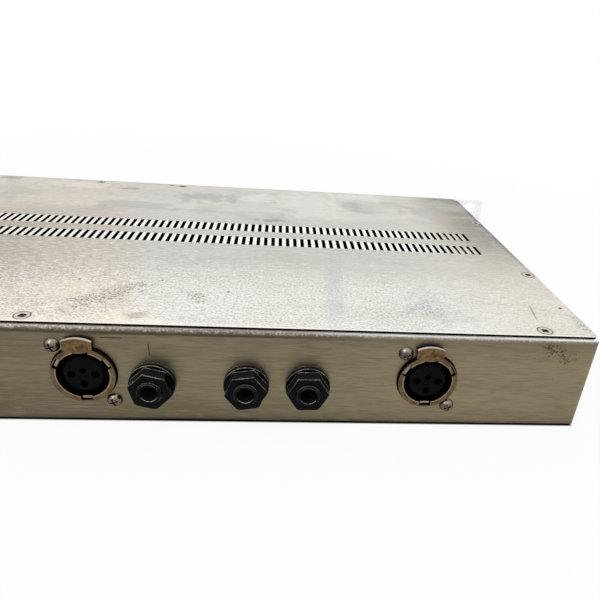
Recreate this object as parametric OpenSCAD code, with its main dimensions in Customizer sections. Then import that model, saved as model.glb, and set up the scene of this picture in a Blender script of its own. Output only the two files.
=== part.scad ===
// One-unit rack compressor for a 19 inch rack, modelled as it comes apart on a bench.
// Millimetres. The front faces -Y, the rear connectors face +Y, and it rests on Z = 0.

/* [Case] */
// Depth of the chassis behind the front panel
chassis_d = 200; // [180:1:240]
// Height of the chassis with its cover
chassis_h = 44; // [43.4:0.1:44.4]
// Thickness of the tray's sheet
sheet_t = 1.2; // [1:0.1:1.5]
// Outer radius of the tray's lower bends and of its corners
bend_r = 2.6; // [1.6:0.1:3]
// Outer radius of the bend along the tray's top edge
lip_r = 3; // [2.2:0.1:3.4]
// Width of the tray's inward top flange
flange_w = 9; // [8.5:0.5:12]

/* [Cover] */
// Thickness of the top cover
cover_t = 1; // [0.8:0.1:1.5]
// Distance from the rear face to the cover's rear edge
cover_rear_inset = 1; // [0.6:0.1:1.6]
// Distance from each side to the cover's edge
cover_side_inset = 1.5; // [1:0.1:1.8]
// Gap between the cover and the front panel
cover_front_gap = 0.4; // [0.2:0.1:1]
// Corner radius at the cover's front
cover_front_r = 6; // [2:0.5:7]
// Corner radius at the cover's rear
cover_rear_r = 2; // [1:0.5:3]
// Width of one cooling slot
slot_w = 1.9; // [1.2:0.05:2.2]
// Length of one cooling slot
slot_l = 12.2; // [6:0.1:14]
// Distance from slot to slot
slot_pitch = 3.84; // [3.2:0.01:5]
// Distance from row to row
slot_row_gap = 21.2; // [16:0.1:24]
// Distance from the rear face to the middle of the two rows
slot_rows_from_rear = 104.8; // [90:0.1:112]
// Least distance from the side of the chassis to the first slot
slot_margin = 20; // [16:0.5:40]

/* [Cover screws] */
// Head radius of a countersunk screw
csk_head_r = 2.8; // [2.6:0.1:2.9]
// Shank radius of the M3 screws
screw_r = 1.5; // [1.3:0.05:1.6]
// Length of a cover screw
cover_screw_l = 6; // [4:0.5:8]
// Distance of the rear screws from the rear face
rear_screw_inset = 5; // [4.6:0.1:6]
// Distance of the side screws from the side
side_screw_inset = 4.9; // [4.8:0.1:6]
// Distance of the front screws from the front wall
front_screw_inset = 4; // [3.6:0.1:6]
// Distance of the outer rear screws from the side
rear_screw_from_side = 22; // [18:0.5:60]
// Offset of the inner front screws from the middle
front_screw_inner_x = 27; // [15:0.5:60]
// Distance of the outer front screws from the side
front_screw_from_side = 18; // [16:0.5:60]
// Distance of the rear pair of side screws from the rear face
side_screw_rear = 62.5; // [45:0.5:75]
// Distance of the front pair of side screws from the rear face
side_screw_front = 144.5; // [125:0.5:155]

/* [Front panel] */
// Width of the rack panel
panel_w = 482.6; // [480:0.1:484]
// Width of each rack ear beyond the chassis
ear_w = 19.05; // [18:0.05:24]
// Thickness of the rack panel
panel_t = 3; // [2.5:0.1:4]
// Corner radius of the rack panel
panel_r = 1.5; // [0.5:0.1:3]
// Distance from the panel's end to the middle of a rack slot
rack_slot_inset = 8.75; // [8.5:0.05:9]
// Distance between the rack slots, up and down
rack_pitch_z = 31.75; // [31.5:0.05:32]
// End-to-end length of a rack slot
rack_slot_l = 10.3; // [8:0.1:12]
// Width of a rack slot
rack_slot_w = 6.8; // [6:0.1:7.4]
// Distance of the panel screws from the side of the chassis
panel_screw_from_side = 10; // [8:0.5:12]
// Height of the panel screws above and below the middle
panel_screw_z = 14; // [10:0.5:15]
// How far the panel screws reach behind the front wall
panel_screw_tip = 4; // [2:0.5:6]

/* [Three-pole sockets] */
// Place of the microphone socket, as a share of the chassis's half width
mic_share = -0.692; // [-0.74:0.001:-0.62]
// Place of the line socket, as a share of the half width
line_share = -0.095; // [-0.1:0.001:-0.06]
// Place of the output socket, as a share of the half width
output_share = 0.216; // [0.18:0.001:0.24]
// Height of the sockets above the floor
socket_z = 22.7; // [22:0.1:22.9]
// Radius of the socket's ring
ring_r = 11.9; // [11.6:0.05:12]
// Inner radius of the ring, for the cable plug's shell
ring_bore_r = 9.8; // [9.5:0.05:9.9]
// How far the ring stands out of the rear wall
ring_proud = 1.8; // [1.2:0.1:2]
// Gap round the ring in the rear wall
ring_gap = 0.5; // [0.3:0.05:0.6]
// Length of a socket behind the rear face
socket_depth = 24; // [22:1:28]
// Width of the mounting flange
socket_flange_w = 26; // [25:0.5:28]
// Height of the mounting flange
socket_flange_h = 31; // [30:0.5:33]
// Thickness of the mounting flange
socket_flange_t = 2; // [1.5:0.1:3]
// Half the sideways distance between the flange screws
socket_screw_x = 10.1; // [9.8:0.1:10.4]
// Half the upright distance between the flange screws
socket_screw_z = 12.1; // [11.8:0.1:12.4]
// Radius of the female insert
insert_r = 7.5; // [7.2:0.1:8.2]
// Radius of the circle that carries the contacts
contact_circle_r = 4.3; // [4.2:0.05:4.6]
// Radius of a contact hole
contact_hole_r = 1.6; // [1.5:0.05:1.7]
// Inner radius of the male output cup
cup_bore_r = 8.2; // [8:0.1:8.6]
// Depth of the male output cup
cup_depth = 14; // [12:0.5:16]
// Radius of a male pin
pin_r = 1.2; // [1.1:0.05:1.3]
// Width of a notch in the female ring
notch_w = 4.6; // [3.6:0.1:5]
// Depth of a notch into the female ring
notch_t = 1.5; // [1.1:0.1:1.6]

/* [Latch tab] */
// Width of the latch tab
latch_w = 10.8; // [9:0.1:12]
// Height of the latch tab
latch_h = 6.2; // [5.5:0.1:7]
// Height of the tab's blunt ends
latch_end_h = 3.4; // [2:0.1:4]
// Thickness of the tab
latch_t = 1.2; // [1:0.1:2]
// Height of the tab's middle above the socket's axis
latch_z = 13.1; // [12.8:0.05:13.7]
// How far the tab sits to the viewer's left of the socket's axis
latch_side = 0.8; // [0:0.1:1]
// How far the tab travels when pressed
latch_travel = 1; // [0.6:0.1:1.2]
// Width of the stem behind the tab
latch_stem_w = 5; // [4:0.5:6]

/* [Jack sockets] */
// Place of the unbalanced line jack, as a share of the half width
line_jack_share = -0.208; // [-0.23:0.001:-0.2]
// Place of the link jack, as a share of the half width
link_jack_share = -0.369; // [-0.38:0.001:-0.32]
// Place of the insert jack, as a share of the half width
insert_jack_share = -0.477; // [-0.51:0.001:-0.465]
// Place of the output jack, as a share of the half width
output_jack_share = 0.369; // [0.35:0.001:0.39]
// Height of the jacks above the floor
jack_z = 19.2; // [18.5:0.1:20]
// Radius of the plug bore
jack_bore_r = 3.25; // [3.2:0.01:3.4]
// Radius of the threaded nose
jack_nose_r = 4.7; // [4.5:0.1:5]
// How far the nose stands out of the rear wall
jack_nose = 8.2; // [7.6:0.1:9]
// Width of the jack's body
jack_body_w = 16; // [15:0.5:18]
// Length of the jack's body behind the rear wall
jack_body_l = 22; // [20:0.5:26]
// Height of the body above the jack's axis
jack_body_top = 9; // [8:0.5:11]
// Width of the nut across its flats
nut_flats = 14.2; // [13.5:0.1:15]
// Radius of the nut's round collar
nut_collar_r = 8.8; // [8.3:0.1:9]
// Thickness of the nut's round collar
nut_collar_t = 2.2; // [1.5:0.1:3]
// Thickness of the whole nut
nut_t = 7; // [5.5:0.1:7.4]

/* [Mains inlet] */
// Place of the mains inlet, as a share of the half width
inlet_share = 0.742; // [0.68:0.001:0.78]
// Width of the inlet's flange
inlet_flange_w = 50; // [48:0.5:52]
// Height of the inlet's flange
inlet_flange_h = 31; // [30:0.5:34]
// Thickness of the inlet's flange
inlet_flange_t = 2.5; // [2:0.1:3]
// Corner radius of the inlet's flange
inlet_corner_r = 3; // [1:0.5:6]
// Half the distance between the inlet's screws
inlet_screw_x = 20; // [19.5:0.1:20.5]
// Outer side of the inlet's body
inlet_body_w = 28; // [27.5:0.5:30]
// Depth of the inlet's body
inlet_body_l = 21; // [20:0.5:24]
// Width of the plug cavity
cavity_w = 24.2; // [23.8:0.1:24.8]
// Height of the plug cavity
cavity_h = 16.4; // [16:0.1:16.8]
// Depth of the plug cavity
cavity_l = 17; // [16:0.5:18]
// Corner cut of the plug cavity
cavity_cut = 5; // [4:0.1:5.5]
// Height of the fuse drawer
drawer_h = 7; // [6.8:0.1:7.2]
// Width of the fuse drawer
drawer_w = 25; // [24:0.5:25.5]
// How far the fuse drawer pulls out
drawer_travel = 14; // [10:0.5:14]
// Radius of the fuse
fuse_r = 2.6; // [2.5:0.05:2.65]
// Length of the fuse
fuse_l = 20; // [19:0.5:20]

/* [Circuit board] */
// Height of the board's spacers above the tray's floor
spacer_h = 7; // [6:0.5:7.5]
// Thickness of the board
board_t = 1.6; // [1.2:0.1:2]
// Gap between the board and the side of the chassis
board_side_gap = 12; // [8:0.5:14]
// Gap between the board and the transformer
board_core_gap = 19; // [14:0.5:20]
// Gap between the board and the rear wall
board_rear_gap = 5; // [4:0.5:8]
// Gap between the board and the front wall
board_front_gap = 0.6; // [0.4:0.1:2]
// Radius of a spacer
spacer_r = 3; // [2.6:0.1:4]
// Distance of the outer spacers from the board's ends
spacer_end_inset = 10; // [8:0.5:12]
// Offset of the inner spacers from the board's middle
spacer_inner_x = 50; // [44:1:56]
// Distance of the front spacers from the front wall
spacer_front_inset = 34; // [28:1:40]
// Distance of the rear spacers from the rear wall
spacer_rear_inset = 42; // [36:1:46]

/* [Mains transformer] */
// Place of the transformer, as a share of the half width
transformer_share = 0.697; // [0.69:0.001:0.72]
// Distance of the transformer's axis from the rear face
transformer_from_rear = 105; // [90:1:115]
// Outer radius of the ring-core transformer
transformer_r = 38; // [32:0.5:40]
// Radius of the hole in the transformer
transformer_hole_r = 11; // [8:0.5:14]
// Height of the transformer
transformer_h = 29; // [24:0.5:30]
// Thickness of each rubber pad
pad_t = 1.5; // [1:0.1:2]
// Radius of the bolt
bolt_r = 3; // [2.5:0.1:4]

/* [Valve and power parts] */
// Place of the valve's base, as a share of the half width
valve_share = -0.18; // [-0.22:0.01:-0.1]
// Radius of the valve's glass
valve_r = 10.5; // [9:0.1:11]
// Length of the valve's glass
valve_l = 46; // [40:0.5:50]
// Radius of a filter capacitor
capacitor_r = 8; // [6:0.5:9]
// Height of a filter capacitor
capacitor_h = 26; // [20:0.5:30]
// Place of the first filter capacitors, as a share of the half width
capacitor_share = 0.198; // [0.18:0.001:0.21]
// Distance from capacitor to capacitor
capacitor_pitch = 24; // [20:1:26]
// Width of the heat sink's top flange
sink_w = 11; // [9:0.5:14]
// Length of the heat sink
sink_l = 40; // [37:0.5:50]
// Sheet thickness of the heat sink
sink_t = 2; // [1.5:0.1:3]
// Gap between the heat sink and the cover
sink_gap = 0.3; // [0.3:0.1:4]
// Distance from the chassis side to the heat sink
sink_from_side = 22; // [18:0.5:23]

/* [Knobs] */
// Distance from knob to knob, as a share of the half width
knob_pitch_share = 0.27; // [0.26:0.001:0.274]
// Radius of the knob's skirt
knob_r = 11; // [9.5:0.1:12]
// Radius of the knob's grip
grip_r = 9.8; // [8.5:0.1:9.8]
// Height of the knob's skirt
skirt_h = 3; // [2:0.1:4]
// How far a knob stands out of the panel
knob_proud = 16; // [15:0.5:20]
// Gap between a knob and the panel
knob_gap = 0.8; // [0.5:0.1:1.5]
// Number of grooves round the grip
groove_count = 20; // [12:1:28]
// Radius of a pot's shaft
shaft_r = 3; // [2.5:0.1:3]
// Running clearance of a shaft in its bush
shaft_gap = 0.05; // [0.02:0.01:0.1]
// Radius of a pot's bush
bush_r = 3.7; // [3.5:0.05:4]
// How far the bush stands out of the panel
bush_proud = 4; // [3.5:0.1:5]
// Radius of a pot's body
pot_r = 8; // [7.5:0.1:9]
// Depth of a pot's body
pot_l = 9; // [8:0.5:12]
// Width of a pot nut across its flats
pot_nut_flats = 10; // [9.5:0.1:10.5]
// Thickness of a pot nut
pot_nut_t = 2; // [1.5:0.1:2.5]

/* [Buttons and lamps] */
// Place of the first button, as a share of the half width
first_button_share = -0.877; // [-0.89:0.001:-0.87]
// Height of the buttons above the floor
button_z = 17; // [16.5:0.5:20]
// Side of a square button
button_w = 7.6; // [7:0.1:8]
// How far a button stands out of the panel
button_proud = 5; // [4:0.5:7]
// Travel of a button
button_travel = 2.5; // [1.5:0.1:2.8]
// Gap round a button or a rocker
button_gap = 0.3; // [0.25:0.05:0.5]
// Side of a button's stem
button_stem_w = 4.4; // [4:0.1:4.8]
// Depth of a switch body
switch_l = 17; // [16:0.5:22]
// Radius of an indicator lamp
lamp_r = 1.5; // [1.2:0.1:1.8]
// Height of the lamps above the floor
lamp_z = 31; // [29:0.5:34]

/* [Meter and power switch] */
// Place of the level meter, as a share of the half width
meter_share = 0.576; // [0.565:0.001:0.585]
// Width of the meter's window
meter_w = 50; // [44:1:54]
// Height of the meter's window
meter_h = 11; // [9:0.5:14]
// Number of meter segments
segment_count = 10; // [6:1:12]
// Place of the power lamp, as a share of the half width
power_lamp_share = 0.756; // [0.745:0.001:0.765]
// Place of the power switch, as a share of the half width
power_share = 0.841; // [0.83:0.001:0.85]
// Width of the rocker
rocker_w = 11; // [9:0.5:12]
// Radius of the rocker's ends about its pivot
rocker_r = 9; // [8:0.1:9.5]
// Tilt of the rocker at either rest
rocker_tilt = 8; // [5:0.5:10]
// Width of the switch's bezel beyond the rocker, on each side
bezel_w = 2; // [1.8:0.1:3]
// Thickness of the switch's bezel
bezel_t = 1.5; // [1:0.1:2]

/* [Hidden] */
$fn = 64;
// Small overshoot that makes cuts pass clean through a face
over = 1;
// Overlap by which two shapes of one solid run into each other
weld = 0.01;
// Clearance between a fixed piece and the hole or bore that it sits in
fixed_gap = 0.1;
// Size of a cross recess and its depth, as shares of the screw's head
cross_share = 1.1;
cross_depth_share = 0.3;

// Place across the chassis, from a share of its half width
function across(share) = share * half_w;

chassis_w = panel_w - 2 * ear_w;
half_w = chassis_w / 2;
tray_h = chassis_h - cover_t;
mid_z = chassis_h / 2;
total_d = knob_proud + panel_t + chassis_d + jack_nose;
rear_y = total_d / 2 - jack_nose;
front_y = rear_y - chassis_d;
panel_y = front_y - panel_t;
mid_y = rear_y - chassis_d / 2;
wall_back = panel_t + sheet_t;
board_z = sheet_t + spacer_h;
board_top = board_z + board_t;

cover_w = chassis_w - 2 * cover_side_inset;
cover_d = chassis_d - cover_rear_inset - cover_front_gap;
cover_y = rear_y - cover_rear_inset - cover_d / 2;
slot_count = floor((chassis_w - 2 * slot_margin) / slot_pitch) + 1;
slot_first_x = -(slot_count - 1) * slot_pitch / 2;
slots_y = rear_y - slot_rows_from_rear;

socket_hole_r = ring_r + ring_gap;
screw_hole_r = screw_r + fixed_gap;
nut_corner_r = nut_flats / sqrt(3);
jack_hole_r = jack_nose_r + fixed_gap;
jack_back_wall = 2;
jack_bore_l = jack_nose + sheet_t + jack_body_l - jack_back_wall;

// Radius of the tab's two arcs, from its width, height and blunt ends
latch_rise = (latch_h - latch_end_h) / 2;
latch_arc_r = (pow(latch_w / 2, 2) + pow(latch_rise, 2)) / (2 * latch_rise);
latch_rest = latch_travel + 0.2;
latch_gap = 0.35;
stem_top = ring_r - latch_gap;
stem_t = ring_r - ring_bore_r - 2 * latch_gap;
stem_l = 9;
stem_slot_l = 12;

// Three-pole sockets: the ring's notches, the leaves in them and the solder tails
NOTCH_ANGLES = [30, 152, 272];
notch_l = 7;
leaf_t = 1;
leaf_l = 9;
leaf_sink = 0.9;
tail_l = 4;
socket_screw_l = 5;
inlet_screw_l = 8;

// The inlet's cavity lies above the drawer, with an equal wall round both
drawer_gap = 0.2;
drawer_slot_h = drawer_h + 2 * drawer_gap;
inlet_wall = (inlet_body_w - cavity_h - drawer_slot_h) / 3;
cavity_z = inlet_body_w / 2 - inlet_wall - cavity_h / 2;
drawer_z = -inlet_body_w / 2 + inlet_wall + drawer_slot_h / 2;
drawer_end_gap = 1;
drawer_l = cavity_l - drawer_end_gap;
fuse_gap = 0.2;
fuse_seat = 2;
blade_x = 7;
blade_rise = 2;
blade_w = 2;
blade_h = 4;

board_hole_r = 1.35;

// Stack of the transformer: pad, core, pad, washer, bolt head
washer_z = sheet_t + 2 * pad_t + transformer_h;
washer_t = 2;
washer_inset = 9;
bolt_end_z = 0.2;

// The valve lies on its side above the board
valve_z = board_top + valve_r + 1.5;
valve_base_l = 10;

pot_z = mid_z;
pot_back_wall = 3;
shaft_l = pot_l - pot_back_wall;
shaft_end_gap = 0.3;
knob_roof = 3;
nut_pocket_r = pot_nut_flats / sqrt(3) + 0.8;
button_stem_l = 10;
meter_sink = 1;
// Depth of the rocker's pivot behind the panel's face
rocker_pivot = 3;
switch_well_w = rocker_w + 2 * button_gap;
switch_well_h = 2 * (rocker_r + button_gap);
switch_body_w = switch_well_w + bezel_w;
switch_body_h = switch_well_h + bezel_w;
sink_x = sink_from_side - half_w;
sink_top = tray_h - sink_gap;

// Places across the rear; each jack also has the turn of its nut
mic_x = across(mic_share);
line_x = across(line_share);
output_x = across(output_share);
inlet_x = across(inlet_share);
line_jack_x = across(line_jack_share);
link_jack_x = across(link_jack_share);
insert_jack_x = across(insert_jack_share);
output_jack_x = across(output_jack_share);
SOCKETS_X = [mic_x, line_x, output_x];
JACKS = [[line_jack_x, -14], [link_jack_x, 9], [insert_jack_x, 1], [output_jack_x, 20]];

// Places across the front; each knob stands half a pitch beyond its button
meter_x = across(meter_share);
power_x = across(power_share);
knob_pitch = across(knob_pitch_share);
first_button_x = across(first_button_share);
first_knob_x = first_button_x + knob_pitch / 2;
KNOB_NAMES = ["gain", "threshold", "ratio", "release", "output"];
BUTTON_NAMES = ["input", "phantom", "filter", "compress", "meter"];
KNOBS_X = [for (i = [0:len(KNOB_NAMES) - 1]) first_knob_x + i * knob_pitch];
BUTTONS_X = [for (i = [0:len(BUTTON_NAMES) - 1]) first_button_x + i * knob_pitch];
LAMPS_X = concat(BUTTONS_X, [across(power_lamp_share)]);

COVER_SCREWS = concat(
    [for (s = [-1, 0, 1]) [s * (half_w - rear_screw_from_side), rear_y - rear_screw_inset]],
    [for (s = [-1, 1], y = [side_screw_rear, side_screw_front])
        [s * (half_w - side_screw_inset), rear_y - y]],
    [for (s = [-1, 1], x = [front_screw_inner_x, half_w - front_screw_from_side])
        [s * x, front_y + front_screw_inset]]
);
transformer_x = across(transformer_share);
valve_x = across(valve_share);
capacitor_x = across(capacitor_share);
board_x0 = board_side_gap - half_w;
board_x1 = transformer_x - transformer_r - board_core_gap;
board_mid_x = (board_x0 + board_x1) / 2;
board_half_w = (board_x1 - board_x0) / 2;
SPACERS = [
    for (x = [board_half_w - spacer_end_inset, spacer_inner_x], s = [-1, 1],
        y = [front_y + spacer_front_inset, rear_y - spacer_rear_inset]) [board_mid_x + s * x, y]
];
CAPACITORS = [
    for (i = [0:1], j = [0:1]) [capacitor_x + i * capacitor_pitch, slots_y + (j - 0.5) * capacitor_pitch]
];

// Placement on the two faces: local X to the viewer's right, Y up, Z towards the viewer

module on_rear(x, z) {
    translate([x, rear_y, z]) rotate([90, 0, 180]) children();
}

module on_front(x, z) {
    translate([x, panel_y, z]) rotate([90, 0, 0]) children();
}

// Shapes that repeat

module rounded_rect(w, h, r) {
    square([w - 2 * r, h], center = true);
    square([w, h - 2 * r], center = true);
    for (sx = [-1, 1], sy = [-1, 1]) translate([sx * (w / 2 - r), sy * (h / 2 - r)]) circle(r);
}

// Rectangle with one radius at its two low corners and another at its two high ones
module two_radius_rect(w, h, low_r, high_r) {
    translate([-w / 2, low_r - h / 2]) square([w, h - low_r - high_r]);
    translate([low_r - w / 2, -h / 2]) square([w - 2 * low_r, h / 2]);
    translate([high_r - w / 2, 0]) square([w - 2 * high_r, h / 2]);
    for (s = [-1, 1]) {
        translate([s * (w / 2 - low_r), low_r - h / 2]) circle(low_r);
        translate([s * (w / 2 - high_r), h / 2 - high_r]) circle(high_r);
    }
}

// Block with every edge rounded, as a folded sheet has, and wider bends along the top
module folded_block(w, d, h, r, top_r) {
    intersection() {
        linear_extrude(h) rounded_rect(w, d, r);
        translate([0, d / 2, h / 2]) rotate([90, 0, 0]) linear_extrude(d) two_radius_rect(w, h, r, top_r);
        translate([-w / 2, 0, h / 2]) rotate([90, 0, 90]) linear_extrude(w) two_radius_rect(d, h, r, top_r);
    }
}

module cross_recess(size, depth) {
    arm_w = size / 4.5;
    for (a = [0, 90]) rotate(a) translate([-size / 2, -arm_w / 2, -depth]) cube([size, arm_w, depth + over]);
}

// Countersunk screw with its head's top at the origin
module csk_screw(head_r, length) {
    difference() {
        union() {
            translate([0, 0, screw_r - head_r]) cylinder(r1 = screw_r, r2 = head_r, h = head_r - screw_r);
            translate([0, 0, -length]) cylinder(r = screw_r, h = length + screw_r - head_r + weld);
        }
        rotate(35) cross_recess(head_r * cross_share, head_r * cross_depth_share);
    }
}

// Countersunk hole with its mouth at the origin
module csk_hole(head_r) {
    flare_r = head_r + fixed_gap;
    flare_h = flare_r - screw_hole_r;
    translate([0, 0, -flare_h]) cylinder(r1 = screw_hole_r, r2 = flare_r, h = flare_h);
    translate([0, 0, -head_r * 3]) cylinder(r = screw_hole_r, h = head_r * 3);
    cylinder(r = flare_r, h = over);
}

// Pan-head screw whose head sits on Z = 0
module pan_screw(head_r, head_h, shank_r, length) {
    dome_r = (head_r * head_r + head_h * head_h) / (2 * head_h);
    difference() {
        union() {
            intersection() {
                translate([0, 0, head_h - dome_r]) sphere(dome_r);
                cylinder(r = head_r, h = head_h + over);
            }
            translate([0, 0, -length]) cylinder(r = shank_r, h = length + weld);
        }
        translate([0, 0, head_h]) rotate(20) cross_recess(head_r * cross_share, head_r * cross_depth_share);
    }
}

module hex_prism(flats, h) {
    cylinder(r = flats / sqrt(3), h = h, $fn = 6);
}

// Case

module tray_shell() {
    room_w = chassis_w - 2 * sheet_t;
    room_d = chassis_d - 2 * sheet_t;
    translate([0, mid_y, 0]) difference() {
        folded_block(chassis_w, chassis_d, tray_h, bend_r, lip_r);
        translate([0, 0, sheet_t])
            folded_block(room_w, room_d, tray_h - 2 * sheet_t, bend_r - sheet_t, lip_r - sheet_t);
        translate([0, 0, tray_h / 2])
            linear_extrude(tray_h) rounded_rect(chassis_w - 2 * flange_w, chassis_d - 2 * flange_w, bend_r);
    }
}

module wall_cut() {
    translate([0, 0, -sheet_t - over]) linear_extrude(sheet_t + 2 * over) children();
}

module rear_cutouts() {
    for (x = SOCKETS_X) on_rear(x, socket_z) wall_cut() {
        circle(socket_hole_r);
        for (s = [-1, 1]) translate([-s * socket_screw_x, s * socket_screw_z]) circle(screw_hole_r);
    }
    for (j = JACKS) on_rear(j[0], jack_z) wall_cut() circle(jack_hole_r);
    on_rear(inlet_x, mid_z) wall_cut() {
        square(inlet_body_w + 2 * fixed_gap, center = true);
        for (s = [-1, 1]) translate([s * inlet_screw_x, 0]) circle(screw_hole_r);
    }
}

// Holes that the front wall and the front panel share
module control_holes() {
    for (x = KNOBS_X) translate([x, pot_z]) circle(bush_r + fixed_gap);
    for (x = BUTTONS_X) translate([x, button_z]) square(button_w + 2 * button_gap, center = true);
    for (x = LAMPS_X) translate([x, lamp_z]) circle(lamp_r + fixed_gap);
    translate([meter_x, mid_z]) square([meter_w + 2 * fixed_gap, meter_h + 2 * fixed_gap], center = true);
    translate([power_x, mid_z])
        square([switch_body_w + 2 * fixed_gap, switch_body_h + 2 * fixed_gap], center = true);
}

module panel_screw_places() {
    for (sx = [-1, 1], sz = [-1, 1])
        on_front(sx * (half_w - panel_screw_from_side), mid_z + sz * panel_screw_z) children();
}

module chassis_tray() {
    color("tan") difference() {
        tray_shell();
        rear_cutouts();
        on_front(0, 0) translate([0, 0, -wall_back - over])
            linear_extrude(sheet_t + 2 * over) control_holes();
        panel_screw_places() translate([0, 0, -wall_back - over])
            cylinder(r = screw_hole_r, h = wall_back + over);
        for (p = COVER_SCREWS) translate([p[0], p[1], chassis_h]) csk_hole(csk_head_r);
        at_transformer(-over) cylinder(r = bolt_r + fixed_gap, h = sheet_t + 2 * over);
    }
}

module cover_slots() {
    for (i = [0:slot_count - 1], s = [-1, 1])
        translate([slot_first_x + i * slot_pitch, slots_y + s * slot_row_gap / 2])
            square([slot_w, slot_l], center = true);
}

module top_cover() {
    color("silver") difference() {
        translate([0, 0, tray_h]) linear_extrude(cover_t) difference() {
            translate([0, cover_y]) two_radius_rect(cover_w, cover_d, cover_front_r, cover_rear_r);
            cover_slots();
        }
        for (p = COVER_SCREWS) translate([p[0], p[1], chassis_h]) csk_hole(csk_head_r);
    }
}

module cover_screws() {
    color("gray") for (p = COVER_SCREWS) translate([p[0], p[1], chassis_h])
        csk_screw(csk_head_r, cover_screw_l);
}

module rack_slot() {
    run = rack_slot_l - rack_slot_w;
    square([run, rack_slot_w], center = true);
    for (s = [-1, 1]) translate([s * run / 2, 0]) circle(rack_slot_w / 2);
}

module front_panel() {
    color("ivory") difference() {
        on_front(0, 0) translate([0, 0, -panel_t]) linear_extrude(panel_t) difference() {
            translate([0, mid_z]) rounded_rect(panel_w, chassis_h, panel_r);
            control_holes();
            for (sx = [-1, 1], sz = [-1, 1])
                translate([sx * (panel_w / 2 - rack_slot_inset), mid_z + sz * rack_pitch_z / 2]) rack_slot();
        }
        panel_screw_places() csk_hole(csk_head_r);
    }
}

module panel_screws() {
    color("black") panel_screw_places() csk_screw(csk_head_r, wall_back + panel_screw_tip);
}

// Three-pole sockets

module socket_flange() {
    translate([0, 0, -sheet_t - socket_flange_t])
        linear_extrude(socket_flange_t) rounded_rect(socket_flange_w, socket_flange_h, 2);
}

module socket_screw_places() {
    for (s = [-1, 1]) translate([-s * socket_screw_x, s * socket_screw_z]) children();
}

module socket_screw_holes() {
    socket_screw_places() translate([0, 0, -socket_depth]) cylinder(r = screw_hole_r, h = socket_depth);
}

// Lens with two arcs and blunt ends
module latch_outline(grow) {
    arc_offset = latch_arc_r - latch_h / 2;
    translate([-latch_side, latch_z]) intersection() {
        translate([0, -arc_offset]) circle(latch_arc_r + grow);
        translate([0, arc_offset]) circle(latch_arc_r + grow);
        square([latch_w + 2 * grow, latch_h + 2 * grow], center = true);
    }
}

// Thin contact leaf that stands in each notch of the ring
module ring_leaf(angle) {
    leaf_w = notch_w - 1;
    rotate(angle) translate([ring_bore_r + weld, -leaf_w / 2, -leaf_l])
        cube([leaf_t, leaf_w, leaf_l + ring_proud - leaf_sink]);
}

module ring_notch(angle) {
    rotate(angle) translate([ring_bore_r - over, -notch_w / 2, -notch_l])
        cube([notch_t + over, notch_w, notch_l + ring_proud + over]);
}

module female_shell() {
    color("goldenrod") {
        difference() {
            union() {
                socket_flange();
                translate([0, 0, -socket_depth]) cylinder(r = ring_r, h = socket_depth + ring_proud);
            }
            translate([0, 0, -socket_depth - over])
                cylinder(r = ring_bore_r, h = socket_depth + ring_proud + 2 * over);
            for (a = NOTCH_ANGLES) ring_notch(a);
            linear_extrude(ring_proud + over) latch_outline(latch_gap);
            translate([-latch_stem_w / 2 - latch_gap, 0, -stem_slot_l])
                cube([latch_stem_w + 2 * latch_gap, ring_r, stem_slot_l + ring_proud + over]);
            socket_screw_holes();
        }
        for (a = NOTCH_ANGLES) ring_leaf(a);
    }
}

module contact_places() {
    for (p = [[-1, 0], [1, 0], [0, -1]]) translate(contact_circle_r * p) children();
}

module female_insert() {
    front = ring_proud - 0.5;
    edge = 0.6;
    base_l = 6;
    centre_hole_y = 1.75;
    centre_hole_l = 8;
    color([0.08, 0.08, 0.08]) difference() {
        union() {
            translate([0, 0, -socket_depth]) cylinder(r = insert_r, h = socket_depth + front - edge);
            translate([0, 0, front - edge]) cylinder(r1 = insert_r, r2 = insert_r - edge, h = edge);
            translate([0, 0, -socket_depth]) cylinder(r = ring_bore_r - fixed_gap, h = base_l);
        }
        contact_places() translate([0, 0, -socket_depth - over])
            cylinder(r = contact_hole_r, h = socket_depth + ring_proud + 2 * over);
        translate([0, centre_hole_y, -centre_hole_l]) cylinder(r = contact_hole_r - 0.3, h = socket_depth);
    }
}

module female_contact() {
    tube_r = contact_hole_r - fixed_gap;
    tube_t = 0.35;
    tube_bore_l = 12;
    mouth_depth = 1.5;
    difference() {
        translate([0, 0, -socket_depth]) cylinder(r = tube_r, h = socket_depth - mouth_depth);
        translate([0, 0, -tube_bore_l]) cylinder(r = tube_r - tube_t, h = tube_bore_l);
    }
    translate([0, 0, -socket_depth - tail_l]) cylinder(r = tube_r - tube_t, h = tail_l + over);
}

// Tab with a stem behind it, and the hook that catches the cable plug's shell
module latch() {
    hook_y = insert_r + 0.7;
    hook_l = 2.5;
    color("gold") {
        translate([0, 0, latch_rest]) linear_extrude(latch_t) latch_outline(0);
        translate([-latch_stem_w / 2, stem_top - stem_t, -stem_l])
            cube([latch_stem_w, stem_t, stem_l + latch_rest + latch_t / 2]);
        translate([-latch_stem_w / 2, hook_y, -stem_l]) cube([latch_stem_w, stem_top - hook_y, hook_l]);
    }
}

module male_shell() {
    key_w = 2;
    key_h = 1.2;
    color("goldenrod") difference() {
        union() {
            socket_flange();
            translate([0, 0, -socket_depth]) cylinder(r = ring_r, h = socket_depth + ring_proud);
        }
        translate([0, 0, -socket_depth - over])
            cylinder(r = cup_bore_r, h = socket_depth + ring_proud + 2 * over);
        translate([-key_w / 2, cup_bore_r - over, -cup_depth])
            cube([key_w, over + key_h, cup_depth + ring_proud + over]);
        socket_screw_holes();
    }
}

module male_insert() {
    color([0.08, 0.08, 0.08]) difference() {
        translate([0, 0, -socket_depth]) cylinder(r = cup_bore_r - fixed_gap, h = socket_depth - cup_depth);
        contact_places() translate([0, 0, -socket_depth - over])
            cylinder(r = pin_r + fixed_gap, h = socket_depth);
    }
}

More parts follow.
